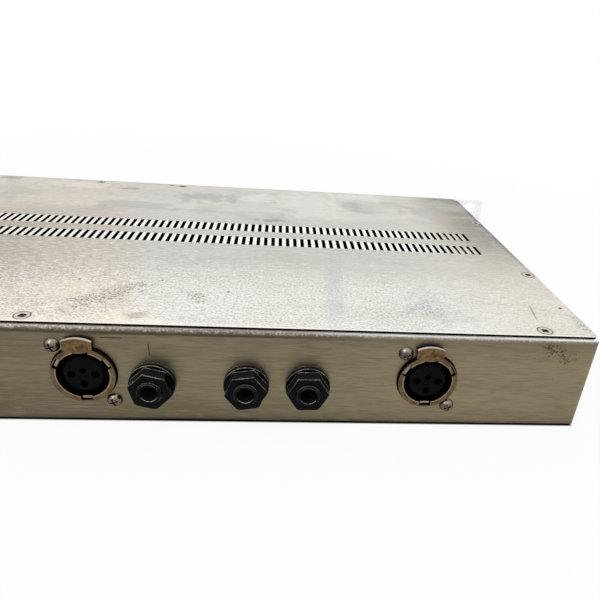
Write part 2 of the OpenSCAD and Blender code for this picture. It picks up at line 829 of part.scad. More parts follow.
module male_pin() {
    tip = 0.6;
    sink = 1;
    translate([0, 0, -socket_depth - tail_l]) cylinder(r = pin_r, h = socket_depth + tail_l - sink - tip);
    translate([0, 0, -sink - tip]) cylinder(r1 = pin_r, r2 = pin_r - tip, h = tip);
}

module socket_contacts() {
    color("goldenrod") for (x = [mic_x, line_x]) on_rear(x, socket_z) contact_places() female_contact();
}

module rear_screws() {
    head_r = 3;
    head_h = 2.4;
    color("silver") {
        for (x = SOCKETS_X) on_rear(x, socket_z)
            socket_screw_places() pan_screw(head_r, head_h, screw_r, socket_screw_l);
        on_rear(inlet_x, mid_z) for (s = [-1, 1])
            translate([s * inlet_screw_x, 0, inlet_flange_t])
                pan_screw(head_r, head_h, screw_r, inlet_screw_l);
    }
}

// Jack sockets

module jack_socket() {
    foot = jack_z - board_top;
    mouth = 0.6;
    color([0.09, 0.09, 0.09]) difference() {
        union() {
            translate([-jack_body_w / 2, -foot, -sheet_t - jack_body_l])
                cube([jack_body_w, foot + jack_body_top, jack_body_l]);
            translate([0, 0, -sheet_t - over])
                cylinder(r = jack_nose_r, h = sheet_t + over + jack_nose - mouth);
            translate([0, 0, jack_nose - mouth])
                cylinder(r1 = jack_nose_r, r2 = jack_nose_r - mouth, h = mouth);
        }
        translate([0, 0, jack_nose - jack_bore_l]) cylinder(r = jack_bore_r, h = jack_bore_l + over);
    }
}

// Hexagonal nut on a round collar, with its corners turned off at the front
module jack_nut(turn) {
    bevel = 0.4;
    clear_r = nut_corner_r + bevel / 3;
    difference() {
        union() {
            cylinder(r = nut_collar_r, h = nut_collar_t);
            intersection() {
                rotate(turn) hex_prism(nut_flats, nut_t);
                rotate_extrude() polygon([
                    [0, 0], [clear_r, 0], [clear_r, nut_t - bevel], [clear_r - 1.5 * bevel, nut_t], [0, nut_t]
                ]);
            }
        }
        translate([0, 0, -over]) cylinder(r = jack_nose_r + fixed_gap, h = nut_t + 2 * over);
    }
}

module jack_nuts() {
    color([0.07, 0.07, 0.07]) for (j = JACKS) on_rear(j[0], jack_z) jack_nut(j[1]);
}

module jack_contacts() {
    tag_t = 0.4;
    tag_w = 2;
    tag_pitch = 5;
    tag_rise = 4;
    color("silver") for (j = JACKS) on_rear(j[0], jack_z)
        for (i = [-1:1])
            translate([i * tag_pitch - tag_w / 2, board_top - jack_z, -sheet_t - jack_body_l - tag_t])
                cube([tag_w, jack_z - board_top + tag_rise, tag_t]);
}

// Mains inlet

module cavity_outline() {
    w = cavity_w / 2;
    h = cavity_h / 2;
    c = cavity_cut;
    polygon([[-w, -h], [w, -h], [w, h - c], [w - c, h], [c - w, h], [-w, h - c]]);
}

module blade_places() {
    for (p = [[-blade_x, -blade_rise], [0, blade_rise], [blade_x, -blade_rise]])
        translate([p[0], cavity_z + p[1]]) children();
}

module mains_inlet() {
    back = -inlet_body_l;
    color([0.08, 0.08, 0.08]) difference() {
        union() {
            linear_extrude(inlet_flange_t) rounded_rect(inlet_flange_w, inlet_flange_h, inlet_corner_r);
            translate([-inlet_body_w / 2, -inlet_body_w / 2, back])
                cube([inlet_body_w, inlet_body_w, inlet_body_l + inlet_flange_t / 2]);
        }
        translate([0, cavity_z, -cavity_l]) linear_extrude(cavity_l + inlet_flange_t + over) cavity_outline();
        translate([-drawer_w / 2 - drawer_gap, drawer_z - drawer_slot_h / 2, -cavity_l])
            cube([drawer_w + 2 * drawer_gap, drawer_slot_h, cavity_l + inlet_flange_t + over]);
        blade_places() translate([0, 0, back - over])
            linear_extrude(inlet_body_l) square([blade_w + fixed_gap, blade_h + fixed_gap], center = true);
        for (s = [-1, 1]) translate([s * inlet_screw_x, 0, -over])
            cylinder(r = screw_hole_r, h = inlet_flange_t + 2 * over);
    }
}

module inlet_pins() {
    tag_l = 7;
    sink = 2;
    color("silver") blade_places() translate([0, 0, -inlet_body_l - tag_l])
        linear_extrude(inlet_body_l + tag_l - sink) square([blade_w, blade_h], center = true);
}

module fuse_drawer() {
    trough_l = fuse_l + 1;
    trough_w = 2 * (fuse_r + fuse_gap);
    lip_w = 8;
    lip_h = 1.6;
    lip_t = 1.5;
    color([0.1, 0.1, 0.1]) translate([0, drawer_z, 0]) difference() {
        union() {
            translate([-drawer_w / 2, -drawer_h / 2, -drawer_l])
                cube([drawer_w, drawer_h, drawer_l + inlet_flange_t]);
            translate([-lip_w / 2, -drawer_h / 2, inlet_flange_t - lip_t / 3]) cube([lip_w, lip_h, lip_t]);
        }
        translate([-trough_l / 2, drawer_h / 2 - trough_w, fuse_seat - drawer_l])
            cube([trough_l, trough_w + over, trough_w]);
    }
}

module fuse() {
    seat_r = fuse_r + fuse_gap;
    seat = [-fuse_l / 2, drawer_z + drawer_h / 2 - seat_r, fuse_seat + seat_r - drawer_l];
    cap_l = 5;
    cap_t = 0.2;
    color("lightgray") translate(seat) rotate([0, 90, 0]) {
        cylinder(r = fuse_r - cap_t, h = fuse_l);
        for (z = [0, fuse_l - cap_l]) translate([0, 0, z]) cylinder(r = fuse_r, h = cap_l);
    }
}

// Circuit board and what it carries

module main_board() {
    y0 = front_y + sheet_t + board_front_gap;
    y1 = rear_y - sheet_t - board_rear_gap;
    color("darkgreen") translate([0, 0, board_z]) linear_extrude(board_t) difference() {
        translate([board_x0, y0]) square([board_x1 - board_x0, y1 - y0]);
        for (p = SPACERS) translate(p) circle(board_hole_r);
    }
}

module board_spacers() {
    color("goldenrod") for (p = SPACERS) translate([p[0], p[1], sheet_t]) difference() {
        cylinder(r = spacer_r, h = spacer_h, $fn = 6);
        translate([0, 0, over]) cylinder(r = board_hole_r, h = spacer_h);
    }
}

module board_screws() {
    head_r = 2.5;
    head_h = 1.8;
    length = board_t + spacer_h / 2;
    color("silver") for (p = SPACERS) translate([p[0], p[1], board_top])
        pan_screw(head_r, head_h, board_hole_r - fixed_gap, length);
}

module ring_profile(r_in, r_out, h, r) {
    translate([(r_in + r_out) / 2, h / 2]) rounded_rect(r_out - r_in, h, r);
}

module at_transformer(z) {
    translate([transformer_x, rear_y - transformer_from_rear, z]) children();
}

module mains_transformer() {
    edge_r = 7;
    color("khaki") at_transformer(sheet_t + pad_t)
        rotate_extrude() ring_profile(transformer_hole_r, transformer_r, transformer_h, edge_r);
}

module transformer_pads() {
    pad_r = transformer_r - 5;
    hole_r = bolt_r + 1;
    color("dimgray") for (z = [0, pad_t + transformer_h]) at_transformer(sheet_t + z)
        rotate_extrude() translate([hole_r, 0]) square([pad_r - hole_r, pad_t]);
}

// Pressed plate with a ring groove
module transformer_washer() {
    washer_r = transformer_r - washer_inset;
    hole_r = bolt_r + fixed_gap;
    groove_w = 3;
    groove_depth = 0.6;
    color("silver") at_transformer(washer_z) rotate_extrude() difference() {
        translate([hole_r, 0]) square([washer_r - hole_r, washer_t]);
        translate([transformer_hole_r + groove_w, washer_t - groove_depth]) square([groove_w, over]);
    }
}

module transformer_bolt() {
    head_flats = 10;
    head_h = 3.5;
    color("gray") at_transformer(0) {
        translate([0, 0, washer_z + washer_t]) hex_prism(head_flats, head_h);
        translate([0, 0, bolt_end_z]) cylinder(r = bolt_r, h = washer_z + washer_t);
    }
}

module valve() {
    nib = [2.5, 1, 4];
    color([0.8, 0.85, 0.9]) translate([valve_x, slots_y, valve_z]) rotate([0, -90, 0]) {
        rotate_extrude() intersection() {
            union() {
                square([valve_r, valve_l - valve_r]);
                translate([0, valve_l - valve_r]) circle(valve_r);
            }
            square([valve_r, valve_l]);
        }
        translate([0, 0, valve_l - over / 2]) cylinder(r1 = nib[0], r2 = nib[1], h = nib[2]);
    }
}

module valve_socket() {
    base_r = valve_r + 0.6;
    foot_inset = 1;
    color("white") translate([valve_x, slots_y, 0]) {
        translate([0, 0, valve_z]) rotate([0, 90, 0]) cylinder(r = base_r, h = valve_base_l);
        translate([foot_inset, -base_r, board_top])
            cube([valve_base_l - 2 * foot_inset, 2 * base_r, valve_z - board_top]);
    }
}

module filter_capacitors() {
    bead = 0.6;
    bead_z = 4;
    color("navy") for (p = CAPACITORS) translate([p[0], p[1], board_top]) rotate_extrude() difference() {
        square([capacitor_r, capacitor_h]);
        translate([capacitor_r + bead, bead_z]) circle(2 * bead);
    }
}

module heat_sink() {
    h = sink_top - board_top;
    color("gainsboro") translate([sink_x, slots_y + sink_l / 2, board_top]) rotate([90, 0, 0])
        linear_extrude(sink_l) {
            square([sink_w, sink_t]);
            square([sink_t, h]);
            translate([0, h - sink_t]) square([sink_w, sink_t]);
        }
}

module regulator() {
    body = [4.5, 10, 9];
    tab = [1.3, 10, 6];
    lead = [0.5, 0.8, 6];
    lead_pitch = 2.54;
    translate([0, -body[1] / 2, lead[2]]) cube(body);
    translate([0, -tab[1] / 2, lead[2] + body[2]]) cube(tab);
    for (i = [-1:1]) translate([body[0] / 2, i * lead_pitch - lead[1] / 2, 0]) cube(lead + [0, 0, over]);
}

module regulators() {
    pitch = 13;
    color([0.12, 0.12, 0.12]) for (i = [-1:1])
        translate([sink_x + sink_t, slots_y + i * pitch, board_top + sink_t]) regulator();
}

// Front controls

module pot_body() {
    foot = pot_z - board_top;
    color("dimgray") translate([0, 0, -wall_back]) difference() {
        union() {
            translate([0, 0, -pot_l]) cylinder(r = pot_r, h = pot_l);
            translate([-pot_r, -foot, -pot_l]) cube([2 * pot_r, foot, pot_l]);
            translate([0, 0, -over]) cylinder(r = bush_r, h = over + wall_back + bush_proud);
        }
        translate([0, 0, -shaft_l - shaft_end_gap])
            cylinder(r = shaft_r + shaft_gap, h = shaft_l + wall_back + bush_proud + over);
    }
}

module pot_bodies() {
    for (x = KNOBS_X) on_front(x, pot_z) pot_body();
}

module pot_nuts() {
    color("silver") for (x = KNOBS_X) on_front(x, pot_z) difference() {
        hex_prism(pot_nut_flats, pot_nut_t);
        translate([0, 0, -over]) cylinder(r = bush_r + fixed_gap, h = pot_nut_t + 2 * over);
    }
}

module shaft(i) {
    color("silver") on_front(KNOBS_X[i], pot_z) translate([0, 0, -wall_back - shaft_l])
        cylinder(r = shaft_r, h = shaft_l + wall_back + knob_proud - knob_roof);
}

module knob_profile() {
    chamfer = 1;
    h = knob_proud - knob_gap;
    polygon([
        [0, 0], [knob_r, 0], [knob_r, skirt_h - chamfer], [knob_r - chamfer, skirt_h], [grip_r, skirt_h],
        [grip_r, h - chamfer], [grip_r - chamfer, h], [0, h]
    ]);
}

module knob(i) {
    groove_r = 0.8;
    groove_out = 0.3;
    pointer = [1.2, knob_r, over];
    pointer_start = 2;
    pointer_depth = 0.7;
    press_gap = 0.02;
    top = knob_proud - knob_gap;
    color("dimgray") on_front(KNOBS_X[i], pot_z) translate([0, 0, knob_gap]) difference() {
        rotate_extrude() knob_profile();
        for (k = [0:groove_count - 1]) rotate((k + 0.5) * 360 / groove_count)
            translate([grip_r + groove_out, 0, skirt_h + groove_out]) cylinder(r = groove_r, h = top);
        translate([0, 0, -over]) cylinder(r = nut_pocket_r, h = over + bush_proud);
        translate([0, 0, -over])
            cylinder(r = shaft_r + press_gap, h = over + top - knob_roof + shaft_end_gap);
        translate([-pointer[0] / 2, pointer_start, top - pointer_depth]) cube(pointer);
    }
}

module switch_body() {
    foot = button_z - board_top;
    body_w = button_w + 2;
    well = button_stem_w + 2 * button_gap;
    well_l = button_stem_l - wall_back + button_travel + over;
    color("dimgray") translate([0, 0, -wall_back]) difference() {
        translate([-body_w / 2, -foot, -switch_l]) cube([body_w, foot + body_w / 2, switch_l]);
        translate([-well / 2, -well / 2, -well_l]) cube([well, well, well_l + over]);
    }
}

module switch_bodies() {
    for (x = BUTTONS_X) on_front(x, button_z) switch_body();
}

module button(i) {
    back = wall_back - button_travel - 0.4;
    edge = 0.8;
    corner_r = 0.6;
    color("ivory") on_front(BUTTONS_X[i], button_z) {
        translate([0, 0, -back])
            linear_extrude(back + button_proud - edge) rounded_rect(button_w, button_w, corner_r);
        translate([0, 0, button_proud - edge])
            linear_extrude(edge) rounded_rect(button_w - edge, button_w - edge, corner_r);
        translate([-button_stem_w / 2, -button_stem_w / 2, -button_stem_l])
            cube([button_stem_w, button_stem_w, button_stem_l]);
    }
}

module power_switch() {
    outer_w = switch_body_w;
    outer_h = switch_body_h;
    well_l = rocker_pivot + 6;
    contact_room = 8;
    body_l = well_l + contact_room;
    color([0.08, 0.08, 0.08]) on_front(power_x, mid_z) difference() {
        union() {
            linear_extrude(bezel_t) rounded_rect(outer_w + bezel_w, outer_h + bezel_w, 1);
            translate([-outer_w / 2, -outer_h / 2, -body_l]) cube([outer_w, outer_h, body_l + bezel_t / 2]);
        }
        translate([-switch_well_w / 2, -switch_well_h / 2, -well_l])
            cube([switch_well_w, switch_well_h, well_l + bezel_t + over]);
    }
}

// The rocker's ends are arcs about its pivot, so they keep their gap as it tilts
module rocker_profile() {
    end_face = rocker_pivot + bezel_t + 1.6;
    mid_face = end_face - rocker_r * tan(rocker_tilt);
    intersection() {
        circle(rocker_r);
        polygon([
            [-rocker_r, -rocker_pivot], [rocker_r, -rocker_pivot],
            [rocker_r, end_face], [0, mid_face], [-rocker_r, end_face]
        ]);
    }
}

module power_rocker() {
    color([0.1, 0.1, 0.1]) on_front(power_x, mid_z) translate([0, 0, -rocker_pivot])
        rotate([rocker_tilt, 0, 0]) rotate([90, 0, 90])
            translate([0, 0, -rocker_w / 2]) linear_extrude(rocker_w) rocker_profile();
}

module level_meter() {
    pitch = meter_w / segment_count;
    segment_t = 0.6;
    segment = [pitch * 0.7, meter_h * 0.6, segment_t];
    rim = 2;
    back_t = 3;
    color([0.15, 0.12, 0.12]) on_front(meter_x, mid_z) {
        translate([-meter_w / 2, -meter_h / 2, -wall_back]) cube([meter_w, meter_h, wall_back - meter_sink]);
        translate([-meter_w / 2 - rim, -meter_h / 2 - rim, -wall_back - back_t])
            cube([meter_w + 2 * rim, meter_h + 2 * rim, back_t]);
        for (i = [0:segment_count - 1])
            translate([(i + 0.5) * pitch - meter_w / 2 - segment[0] / 2, -segment[1] / 2, -meter_sink - weld])
                cube(segment);
    }
}

module indicator_lamps() {
    flange_r = lamp_r + 0.5;
    base_l = 4;
    color("darkred") for (x = LAMPS_X) on_front(x, lamp_z) {
        translate([0, 0, -wall_back - base_l]) cylinder(r = flange_r, h = base_l);
        translate([0, 0, -wall_back - over]) cylinder(r = lamp_r, h = wall_back + over);
        intersection() {
            sphere(lamp_r);
            cylinder(r = lamp_r, h = lamp_r);
        }
    }
}

chassis_tray();
top_cover();
cover_screws();
front_panel();
panel_screws();
on_rear(mic_x, socket_z) female_shell();  // mic_socket_shell
on_rear(mic_x, socket_z) female_insert();  // mic_socket_insert
on_rear(mic_x, socket_z) latch();  // mic_socket_latch
on_rear(line_x, socket_z) female_shell();  // line_socket_shell
on_rear(line_x, socket_z) female_insert();  // line_socket_insert
on_rear(line_x, socket_z) latch();  // line_socket_latch
on_rear(output_x, socket_z) male_shell();  // output_socket_shell
on_rear(output_x, socket_z) male_insert();  // output_socket_insert
on_rear(output_x, socket_z) color("goldenrod") contact_places() male_pin();  // output_socket_pins
socket_contacts();
rear_screws();
on_rear(line_jack_x, jack_z) jack_socket();  // line_jack
on_rear(link_jack_x, jack_z) jack_socket();  // link_jack
on_rear(insert_jack_x, jack_z) jack_socket();  // insert_jack
on_rear(output_jack_x, jack_z) jack_socket();  // output_jack
jack_nuts();
jack_contacts();
on_rear(inlet_x, mid_z) mains_inlet();
on_rear(inlet_x, mid_z) inlet_pins();
on_rear(inlet_x, mid_z) fuse_drawer();
on_rear(inlet_x, mid_z) fuse();
main_board();
board_spacers();
board_screws();
mains_transformer();
transformer_bolt();
transformer_washer();
transformer_pads();
valve();
valve_socket();
filter_capacitors();
heat_sink();
regulators();
pot_bodies();
pot_nuts();
for (i = [0:len(KNOB_NAMES) - 1]) {
    shaft(i);
    knob(i);
}
switch_bodies();
for (i = [0:len(BUTTON_NAMES) - 1])
    button(i);
power_switch();
power_rocker();
level_meter();
indicator_lamps();
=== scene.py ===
"""Looks of a one-unit rack compressor: bright brushed cover, tarnished tray, rear sockets, ivory front."""
import math

import bpy
import numpy as np
from mathutils import Matrix, Vector


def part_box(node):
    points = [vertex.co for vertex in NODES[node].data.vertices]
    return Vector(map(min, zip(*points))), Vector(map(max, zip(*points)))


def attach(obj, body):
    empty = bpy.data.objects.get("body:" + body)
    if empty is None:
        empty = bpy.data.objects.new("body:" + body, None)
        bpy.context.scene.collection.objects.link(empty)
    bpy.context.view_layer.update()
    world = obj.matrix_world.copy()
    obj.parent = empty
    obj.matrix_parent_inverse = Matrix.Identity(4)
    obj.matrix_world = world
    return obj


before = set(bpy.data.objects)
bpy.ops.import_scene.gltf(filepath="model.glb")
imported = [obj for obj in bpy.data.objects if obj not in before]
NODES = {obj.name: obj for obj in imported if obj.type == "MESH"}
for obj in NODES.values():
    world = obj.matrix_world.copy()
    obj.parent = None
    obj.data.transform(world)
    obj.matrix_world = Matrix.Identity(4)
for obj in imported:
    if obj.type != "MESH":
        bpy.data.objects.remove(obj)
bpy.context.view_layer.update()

# Places that the materials and the prints share, in metres, read from the solids
COVER_LOW, COVER_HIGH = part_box("top_cover")
TRAY_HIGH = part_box("chassis_tray")[1]
PANEL_LOW, PANEL_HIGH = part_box("front_panel")
METER_LOW, METER_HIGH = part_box("level_meter")
TOP = COVER_HIGH.z
REAR = TRAY_HIGH.y
KNOBS = ["gain", "threshold", "ratio", "release", "output"]
BUTTONS = ["input", "phantom", "filter", "compress", "meter"]
SOCKETS = ["mic_socket", "line_socket", "output_socket"]
MM = 0.001
PRINT_LIFT = 0.00005
# How far a placed mark reaches through the sheet
COVER_MARK_DEPTH = 0.02
WALL_MARK_DEPTH = 0.01
# Axes of the cover screws, to either side of the middle and to the rear, and radii of the painted shade
# about them
COVER_SCREWS = ((0.0, 0.1004), (0.20025, 0.1004), (0.21735, 0.0429), (0.21735, -0.0391))
RECESS_SHADE = (0.0012, 0.0006)
HEAD_RIM_SHADE = (0.0024, 0.0028)
RING_SHADE = (0.0035, 0.0031)
# The two rows of slots: their middle, each row's way from it, and where a row fades at its sides and ends
SLOTS_Y = 0.0006
SLOT_ROW_OFFSET = 0.0106
SLOT_ROW_SIDE = (0.0066, 0.0048)
SLOT_ROW_END = (0.2030, 0.2020)
# Radii on a socket's ring between which its rim, its outer side and the floor of its notches begin
BORE_RIM = (0.0103, 0.0101)
RING_SIDE = (0.01178, 0.01184)
NOTCH_FLOOR = (0.01095, 0.01085)
# Pointer groove of a knob, with depths from the knob's face
POINTER_HALF_WIDTH = 0.00058
POINTER_START = 0.0021
POINTER_TOP = 0.0003
POINTER_FOOT = 0.0009
# Level meter: how far the segments lie behind the panel's face, and where their colours change
METER_SEGMENT_FACE = 0.00095
AMBER_FROM = 0.60
RED_FROM = 0.79
# Lamps further across the panel than this are green
GREEN_LAMPS_FROM = 0.1
# Dials: angles of the marks in degrees, then radii and sizes
DIAL_ANGLES = np.linspace(240, -60, 11)
TICK_START = 0.0124
TICK_LONG = 0.0020
TICK_SHORT = 0.0013
TICK_WIDTH = 0.0004
NUMBER_RADIUS = 0.0166
NUMBER_SIZE = 0.0026
LEADER_WIDTH = 0.00035
TAPE_TURNS = 60
# Depths of the fine relief of the finishes
SHEET_RELIEF = 0.00002
PLATE_RELIEF = 0.00003
PAINT_RELIEF = 0.00004
TAPE_RELIEF = 0.0002
# The floor turns from full shadow, real shading over paper painted dark as a contact shadow, to paper white
# between these distances outside the tray's foot
CONTACT_INSIDE = -0.0010
CONTACT_OUTSIDE = 0.0001
FLOOR_HALF = 4.0
FLOOR_DROP = 0.0001


def middle(node):
    """Centre of a node's box."""
    low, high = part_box(node)
    return (low + high) / 2


# Node helpers


def tone(red, green, blue):
    """Linear colour of a display colour given in 0 to 255."""
    share = np.array([red, green, blue]) / 255
    linear = np.where(share <= 0.04045, share / 12.92, ((share + 0.055) / 1.055) ** 2.4)
    return (*linear.tolist(), 1.0)


WHITE_SPECK = tone(253, 252, 248)
# Default painted highlight colour of plated metal, and default colour of its grime and painted shade in
# corners
HIGHLIGHT_METAL = tone(226, 222, 212)
SOOT_AND_SHADE = tone(30, 25, 18)


def feed(socket, value):
    """Links an output to a socket, or sets a plain value on it."""
    if isinstance(value, bpy.types.NodeSocket):
        socket.id_data.links.new(value, socket)
    else:
        socket.default_value = value


def home(*values):
    """Node tree of the first socket among the values."""
    return next(value.id_data for value in values if isinstance(value, bpy.types.NodeSocket))


def put(tree, kind, sockets=None, **settings):
    """New shader node with its settings, and its sockets fed by name or by place."""
    node = tree.nodes.new("ShaderNode" + kind)
    for name, value in settings.items():
        setattr(node, name, value)
    for name, value in (sockets or {}).items():
        feed(node.inputs[name], value)
    return node


def calc(operation, *values):
    """Result of one arithmetic step."""
    return put(home(*values), "Math", dict(enumerate(values)), operation=operation).outputs[0]


def both(one, other):
    """Product of two masks or values."""
    return calc("MULTIPLY", one, other)


def minus(value, less):
    """A value less another one."""
    return calc("SUBTRACT", value, less)


def apart(value, place):
    """Distance of a value from a place."""
    return calc("ABSOLUTE", minus(value, place))


def vector_calc(operation, *values):
    """Result of one step on vectors."""
    return put(home(*values), "VectorMath", dict(enumerate(values)), operation=operation).outputs


def ease(value, low, high):
    """Smooth rise from 0 at low to 1 at high, or a fall where low is the larger."""
    sockets = {"Value": value, "From Min": low, "From Max": high}
    return put(home(value), "MapRange", sockets, interpolation_type="SMOOTHSTEP").outputs["Result"]


def spread(value, low, high):
    """A share of 0 to 1 laid out between two values."""
    sockets = {"Value": value, "To Min": low, "To Max": high}
    return put(home(value), "MapRange", sockets).outputs["Result"]


def mix(share, under, upper):
    """Colour under another one, by share."""
    node = put(home(share), "Mix", data_type="RGBA")
    for place, value in zip((0, 6, 7), (share, under, upper)):
        feed(node.inputs[place], value)
    return node.outputs[2]


def lay(colour, mask, strength, shade):
    """Lays a shade over a colour where the mask shows, at the given strength."""
    return mix(both(mask, strength), colour, shade)


def ramp(value, low, high, stops):
    """Colour that changes along a value from low to high; stops are rows of place and colour, rising."""
    sockets = {"Value": value, "From Min": low, "From Max": high}
    share = put(home(value), "MapRange", sockets).outputs["Result"]
    node = put(home(value), "ValToRGB", {"Fac": share})
    bands = node.color_ramp.elements
    for _ in stops[2:]:
        bands.new(1.0)
    for number, (place, colour) in enumerate(stops):
        bands[number].position = (place - low) / (high - low)
        bands[number].color = colour
    return node.outputs["Color"]


def noise(where, scale=1.0, detail=3.0, roughness=0.5, distortion=0.0):
    """Cloudy value between 0 and 1."""
    sockets = {"Vector": where, "Scale": scale, "Detail": detail, "Roughness": roughness}
    return put(home(where), "TexNoise", sockets | {"Distortion": distortion}).outputs[0]


def parts(vector):
    """The three parts of a vector."""
    return tuple(put(home(vector), "SeparateXYZ", {0: vector}).outputs)


def true_normal(tree):
    """Direction that the surface itself faces, without bumps."""
    return tree.nodes.new("ShaderNodeNewGeometry").outputs["Normal"]


def facing_up(where, low, high):
    """Share by which a surface looks up, from the upright part of its normal."""
    return ease(parts(true_normal(home(where)))[2], low, high)


# Effects that several finishes share


def new_group(name, outputs, inputs):
    """Empty node group; inputs are names with starting values, which tell vectors from numbers."""
    tree = bpy.data.node_groups.new(name, "ShaderNodeTree")
    for label, start in inputs.items():
        kind = "NodeSocketVector" if isinstance(start, tuple) else "NodeSocketFloat"
        tree.interface.new_socket(label, in_out="INPUT", socket_type=kind).default_value = start
    for label in outputs:
        tree.interface.new_socket(label, in_out="OUTPUT", socket_type="NodeSocketFloat")
    return tree, tree.nodes.new("NodeGroupInput").outputs, tree.nodes.new("NodeGroupOutput").inputs


def use(where, effect, **inputs):
    """Node group in the tree of a place, fed that place if it asks for one. Returns its outputs."""
    node = put(home(where), "Group", node_tree=effect)
    if "Where" in node.inputs:
        feed(node.inputs["Where"], where)
    for name, value in inputs.items():
        feed(node.inputs[name], value)
    return node.outputs


def make_grain():
    """Brushing: fine noise drawn out by unequal lines per metre, with a share of coarser noise."""
    tree, given, result = new_group("Brushed grain", ["Tone", "Height"], {
        "Where": (0, 0, 0), "Lines": (60, 2400, 2400), "Coarse": 0.2,
    })
    drawn = vector_calc("MULTIPLY", given["Where"], given["Lines"])[0]
    fine = noise(drawn, 1.0, 2.0, 0.6)
    coarse = noise(drawn, 0.22, 2.0, 0.5)
    rest = minus(1.0, given["Coarse"])
    blend = calc("MULTIPLY_ADD", coarse, given["Coarse"], both(fine, rest))
    feed(result["Tone"], ease(blend, 0.3, 0.7))
    feed(result["Height"], fine)
    return tree


def make_clouds():
    """Stains: warped noise cut between two levels; Seed moves the pattern."""
    tree, given, result = new_group("Cloud stains", ["Mask"], {
        "Where": (0, 0, 0), "Lumps": (12, 30, 30), "Seed": 0.0, "Low": 0.45, "High": 0.7,
    })
    lumps = vector_calc("MULTIPLY", given["Where"], given["Lumps"])[0]
    moved = vector_calc("ADD", lumps, given["Seed"])[0]
    value = noise(moved, 1.0, 5.0, 0.55, 0.6)
    feed(result["Mask"], ease(value, given["Low"], given["High"]))
    return tree


def make_speckle():
    """Dots: the middle of random cells, kept where the cell's own random number is under Share."""
    tree, given, result = new_group("Speckle", ["Mask"], {
        "Where": (0, 0, 0), "Cells": 900.0, "Share": 0.3, "Size": 0.35,
    })
    cell = put(tree, "TexVoronoi", {"Vector": given["Where"], "Scale": given["Cells"]})
    chance = parts(cell.outputs["Color"])[0]
    kept = calc("LESS_THAN", chance, given["Share"])
    dot = ease(cell.outputs["Distance"], given["Size"], both(given["Size"], 0.4))
    feed(result["Mask"], both(dot, kept))
    return tree


def make_scratches():
    """Hair lines: level lines of drawn-out noise, broken up by a coarser noise."""
    tree, given, result = new_group("Hair scratches", ["Mask"], {
        "Where": (0, 0, 0), "Turn": (0, 0, 0.5), "Lines": (25, 260, 260), "Width": 0.012, "Share": 0.5,
    })
    turned = put(tree, "Mapping", {"Vector": given["Where"], "Rotation": given["Turn"]}).outputs[0]
    field = noise(vector_calc("MULTIPLY", turned, given["Lines"])[0], 1.0, 1.0, 0.4)
    line = ease(apart(field, 0.5), given["Width"], 0.0)
    gate = noise(given["Where"], 45.0, 3.0, 0.6)
    bare = minus(1.0, given["Share"])
    kept = ease(gate, bare, calc("ADD", bare, 0.12))
    feed(result["Mask"], both(line, kept))
    return tree


def make_edge_wear():
    """Worn edges of a box: the second smallest distance to its three pairs of faces, roughened by noise."""
    tree, given, result = new_group("Edge wear", ["Mask"], {
        "Where": (0, 0, 0), "Low": (-1, -1, -1), "High": (1, 1, 1), "Width": 0.002, "Ragged": 0.6,
    })
    to_low = vector_calc("SUBTRACT", given["Where"], given["Low"])[0]
    to_high = vector_calc("SUBTRACT", given["High"], given["Where"])[0]
    x, y, z = parts(vector_calc("MINIMUM", to_low, to_high)[0])
    low_xy = calc("MINIMUM", x, y)
    high_xy = calc("MAXIMUM", x, y)
    second = calc("MAXIMUM", low_xy, calc("MINIMUM", high_xy, z))
    rough = both(noise(given["Where"], 260.0, 4.0, 0.7), given["Ragged"])
    reach = both(given["Width"], minus(1.3, rough))
    feed(result["Mask"], ease(second, reach, both(reach, 0.25)))
    return tree


def make_blotch():
    """One placed mark: turned distance from Centre in units of Reach, warped by noise, cut softly at 1.

    Grit breaks the mark up into specks by a fine noise.
    """
    tree, given, result = new_group("Placed blotch", ["Mask"], {
        "Where": (0, 0, 0), "Centre": (0, 0, 0), "Turn": (0, 0, 0), "Reach": (0.01, 0.01, 0.01),
        "Ragged": 0.5, "Grit": 0.0,
    })
    away = vector_calc("SUBTRACT", given["Where"], given["Centre"])[0]
    sockets = {"Vector": away, "Rotation": given["Turn"]}
    turned = put(tree, "VectorRotate", sockets, rotation_type="EULER_XYZ").outputs[0]
    units = vector_calc("DIVIDE", turned, given["Reach"])[0]
    far = vector_calc("LENGTH", units)["Value"]
    warp = minus(noise(given["Where"], 160.0, 4.0, 0.65), 0.5)
    bent = calc("MULTIPLY_ADD", warp, both(given["Ragged"], 4.0), far)
    whole = ease(bent, 1.1, 0.35)
    lost = ease(noise(given["Where"], 1000.0, 2.0, 0.7), 0.6, 0.52)
    kept = minus(1.0, both(lost, given["Grit"]))
    feed(result["Mask"], both(whole, kept))
    return tree


def make_crevice():
    """Grime and painted shade in corners: how far a point is shut in by what stands within Reach of it."""
    tree, given, result = new_group("Crevice grime and shade", ["Mask"], {"Reach": 0.001})
    open_share = put(tree, "AmbientOcclusion", {"Distance": given["Reach"]}, samples=6).outputs["AO"]
    feed(result["Mask"], ease(open_share, 0.8, 0.3))
    return tree


def make_glint():
    """Mask for painted highlights on sharp edges: how far the normal, rounded over Reach, leans away from
    the true one.

    Upper keeps only the edges whose rounded normal looks up and also to the front or the rear.
    """
    tree, given, result = new_group("Edge glint", ["Mask", "Upper"], {"Reach": 0.0003})
    rounded = put(tree, "Bevel", {"Radius": given["Reach"]}, samples=6).outputs[0]
    alike = vector_calc("DOT_PRODUCT", rounded, true_normal(tree))["Value"]
    edge = ease(minus(1.0, alike), 0.01, 0.14)
    feed(result["Mask"], edge)
    y, z = parts(rounded)[1:]
    outward = both(ease(z, 0.15, 0.6), ease(calc("ABSOLUTE", y), 0.1, 0.4))
    feed(result["Upper"], both(edge, outward))
    return tree


GRAIN = make_grain()
CLOUDS = make_clouds()
SPECKLE = make_speckle()
SCRATCHES = make_scratches()
EDGE_WEAR = make_edge_wear()
BLOTCH = make_blotch()
CREVICE = make_crevice()
GLINT = make_glint()


# Finishes


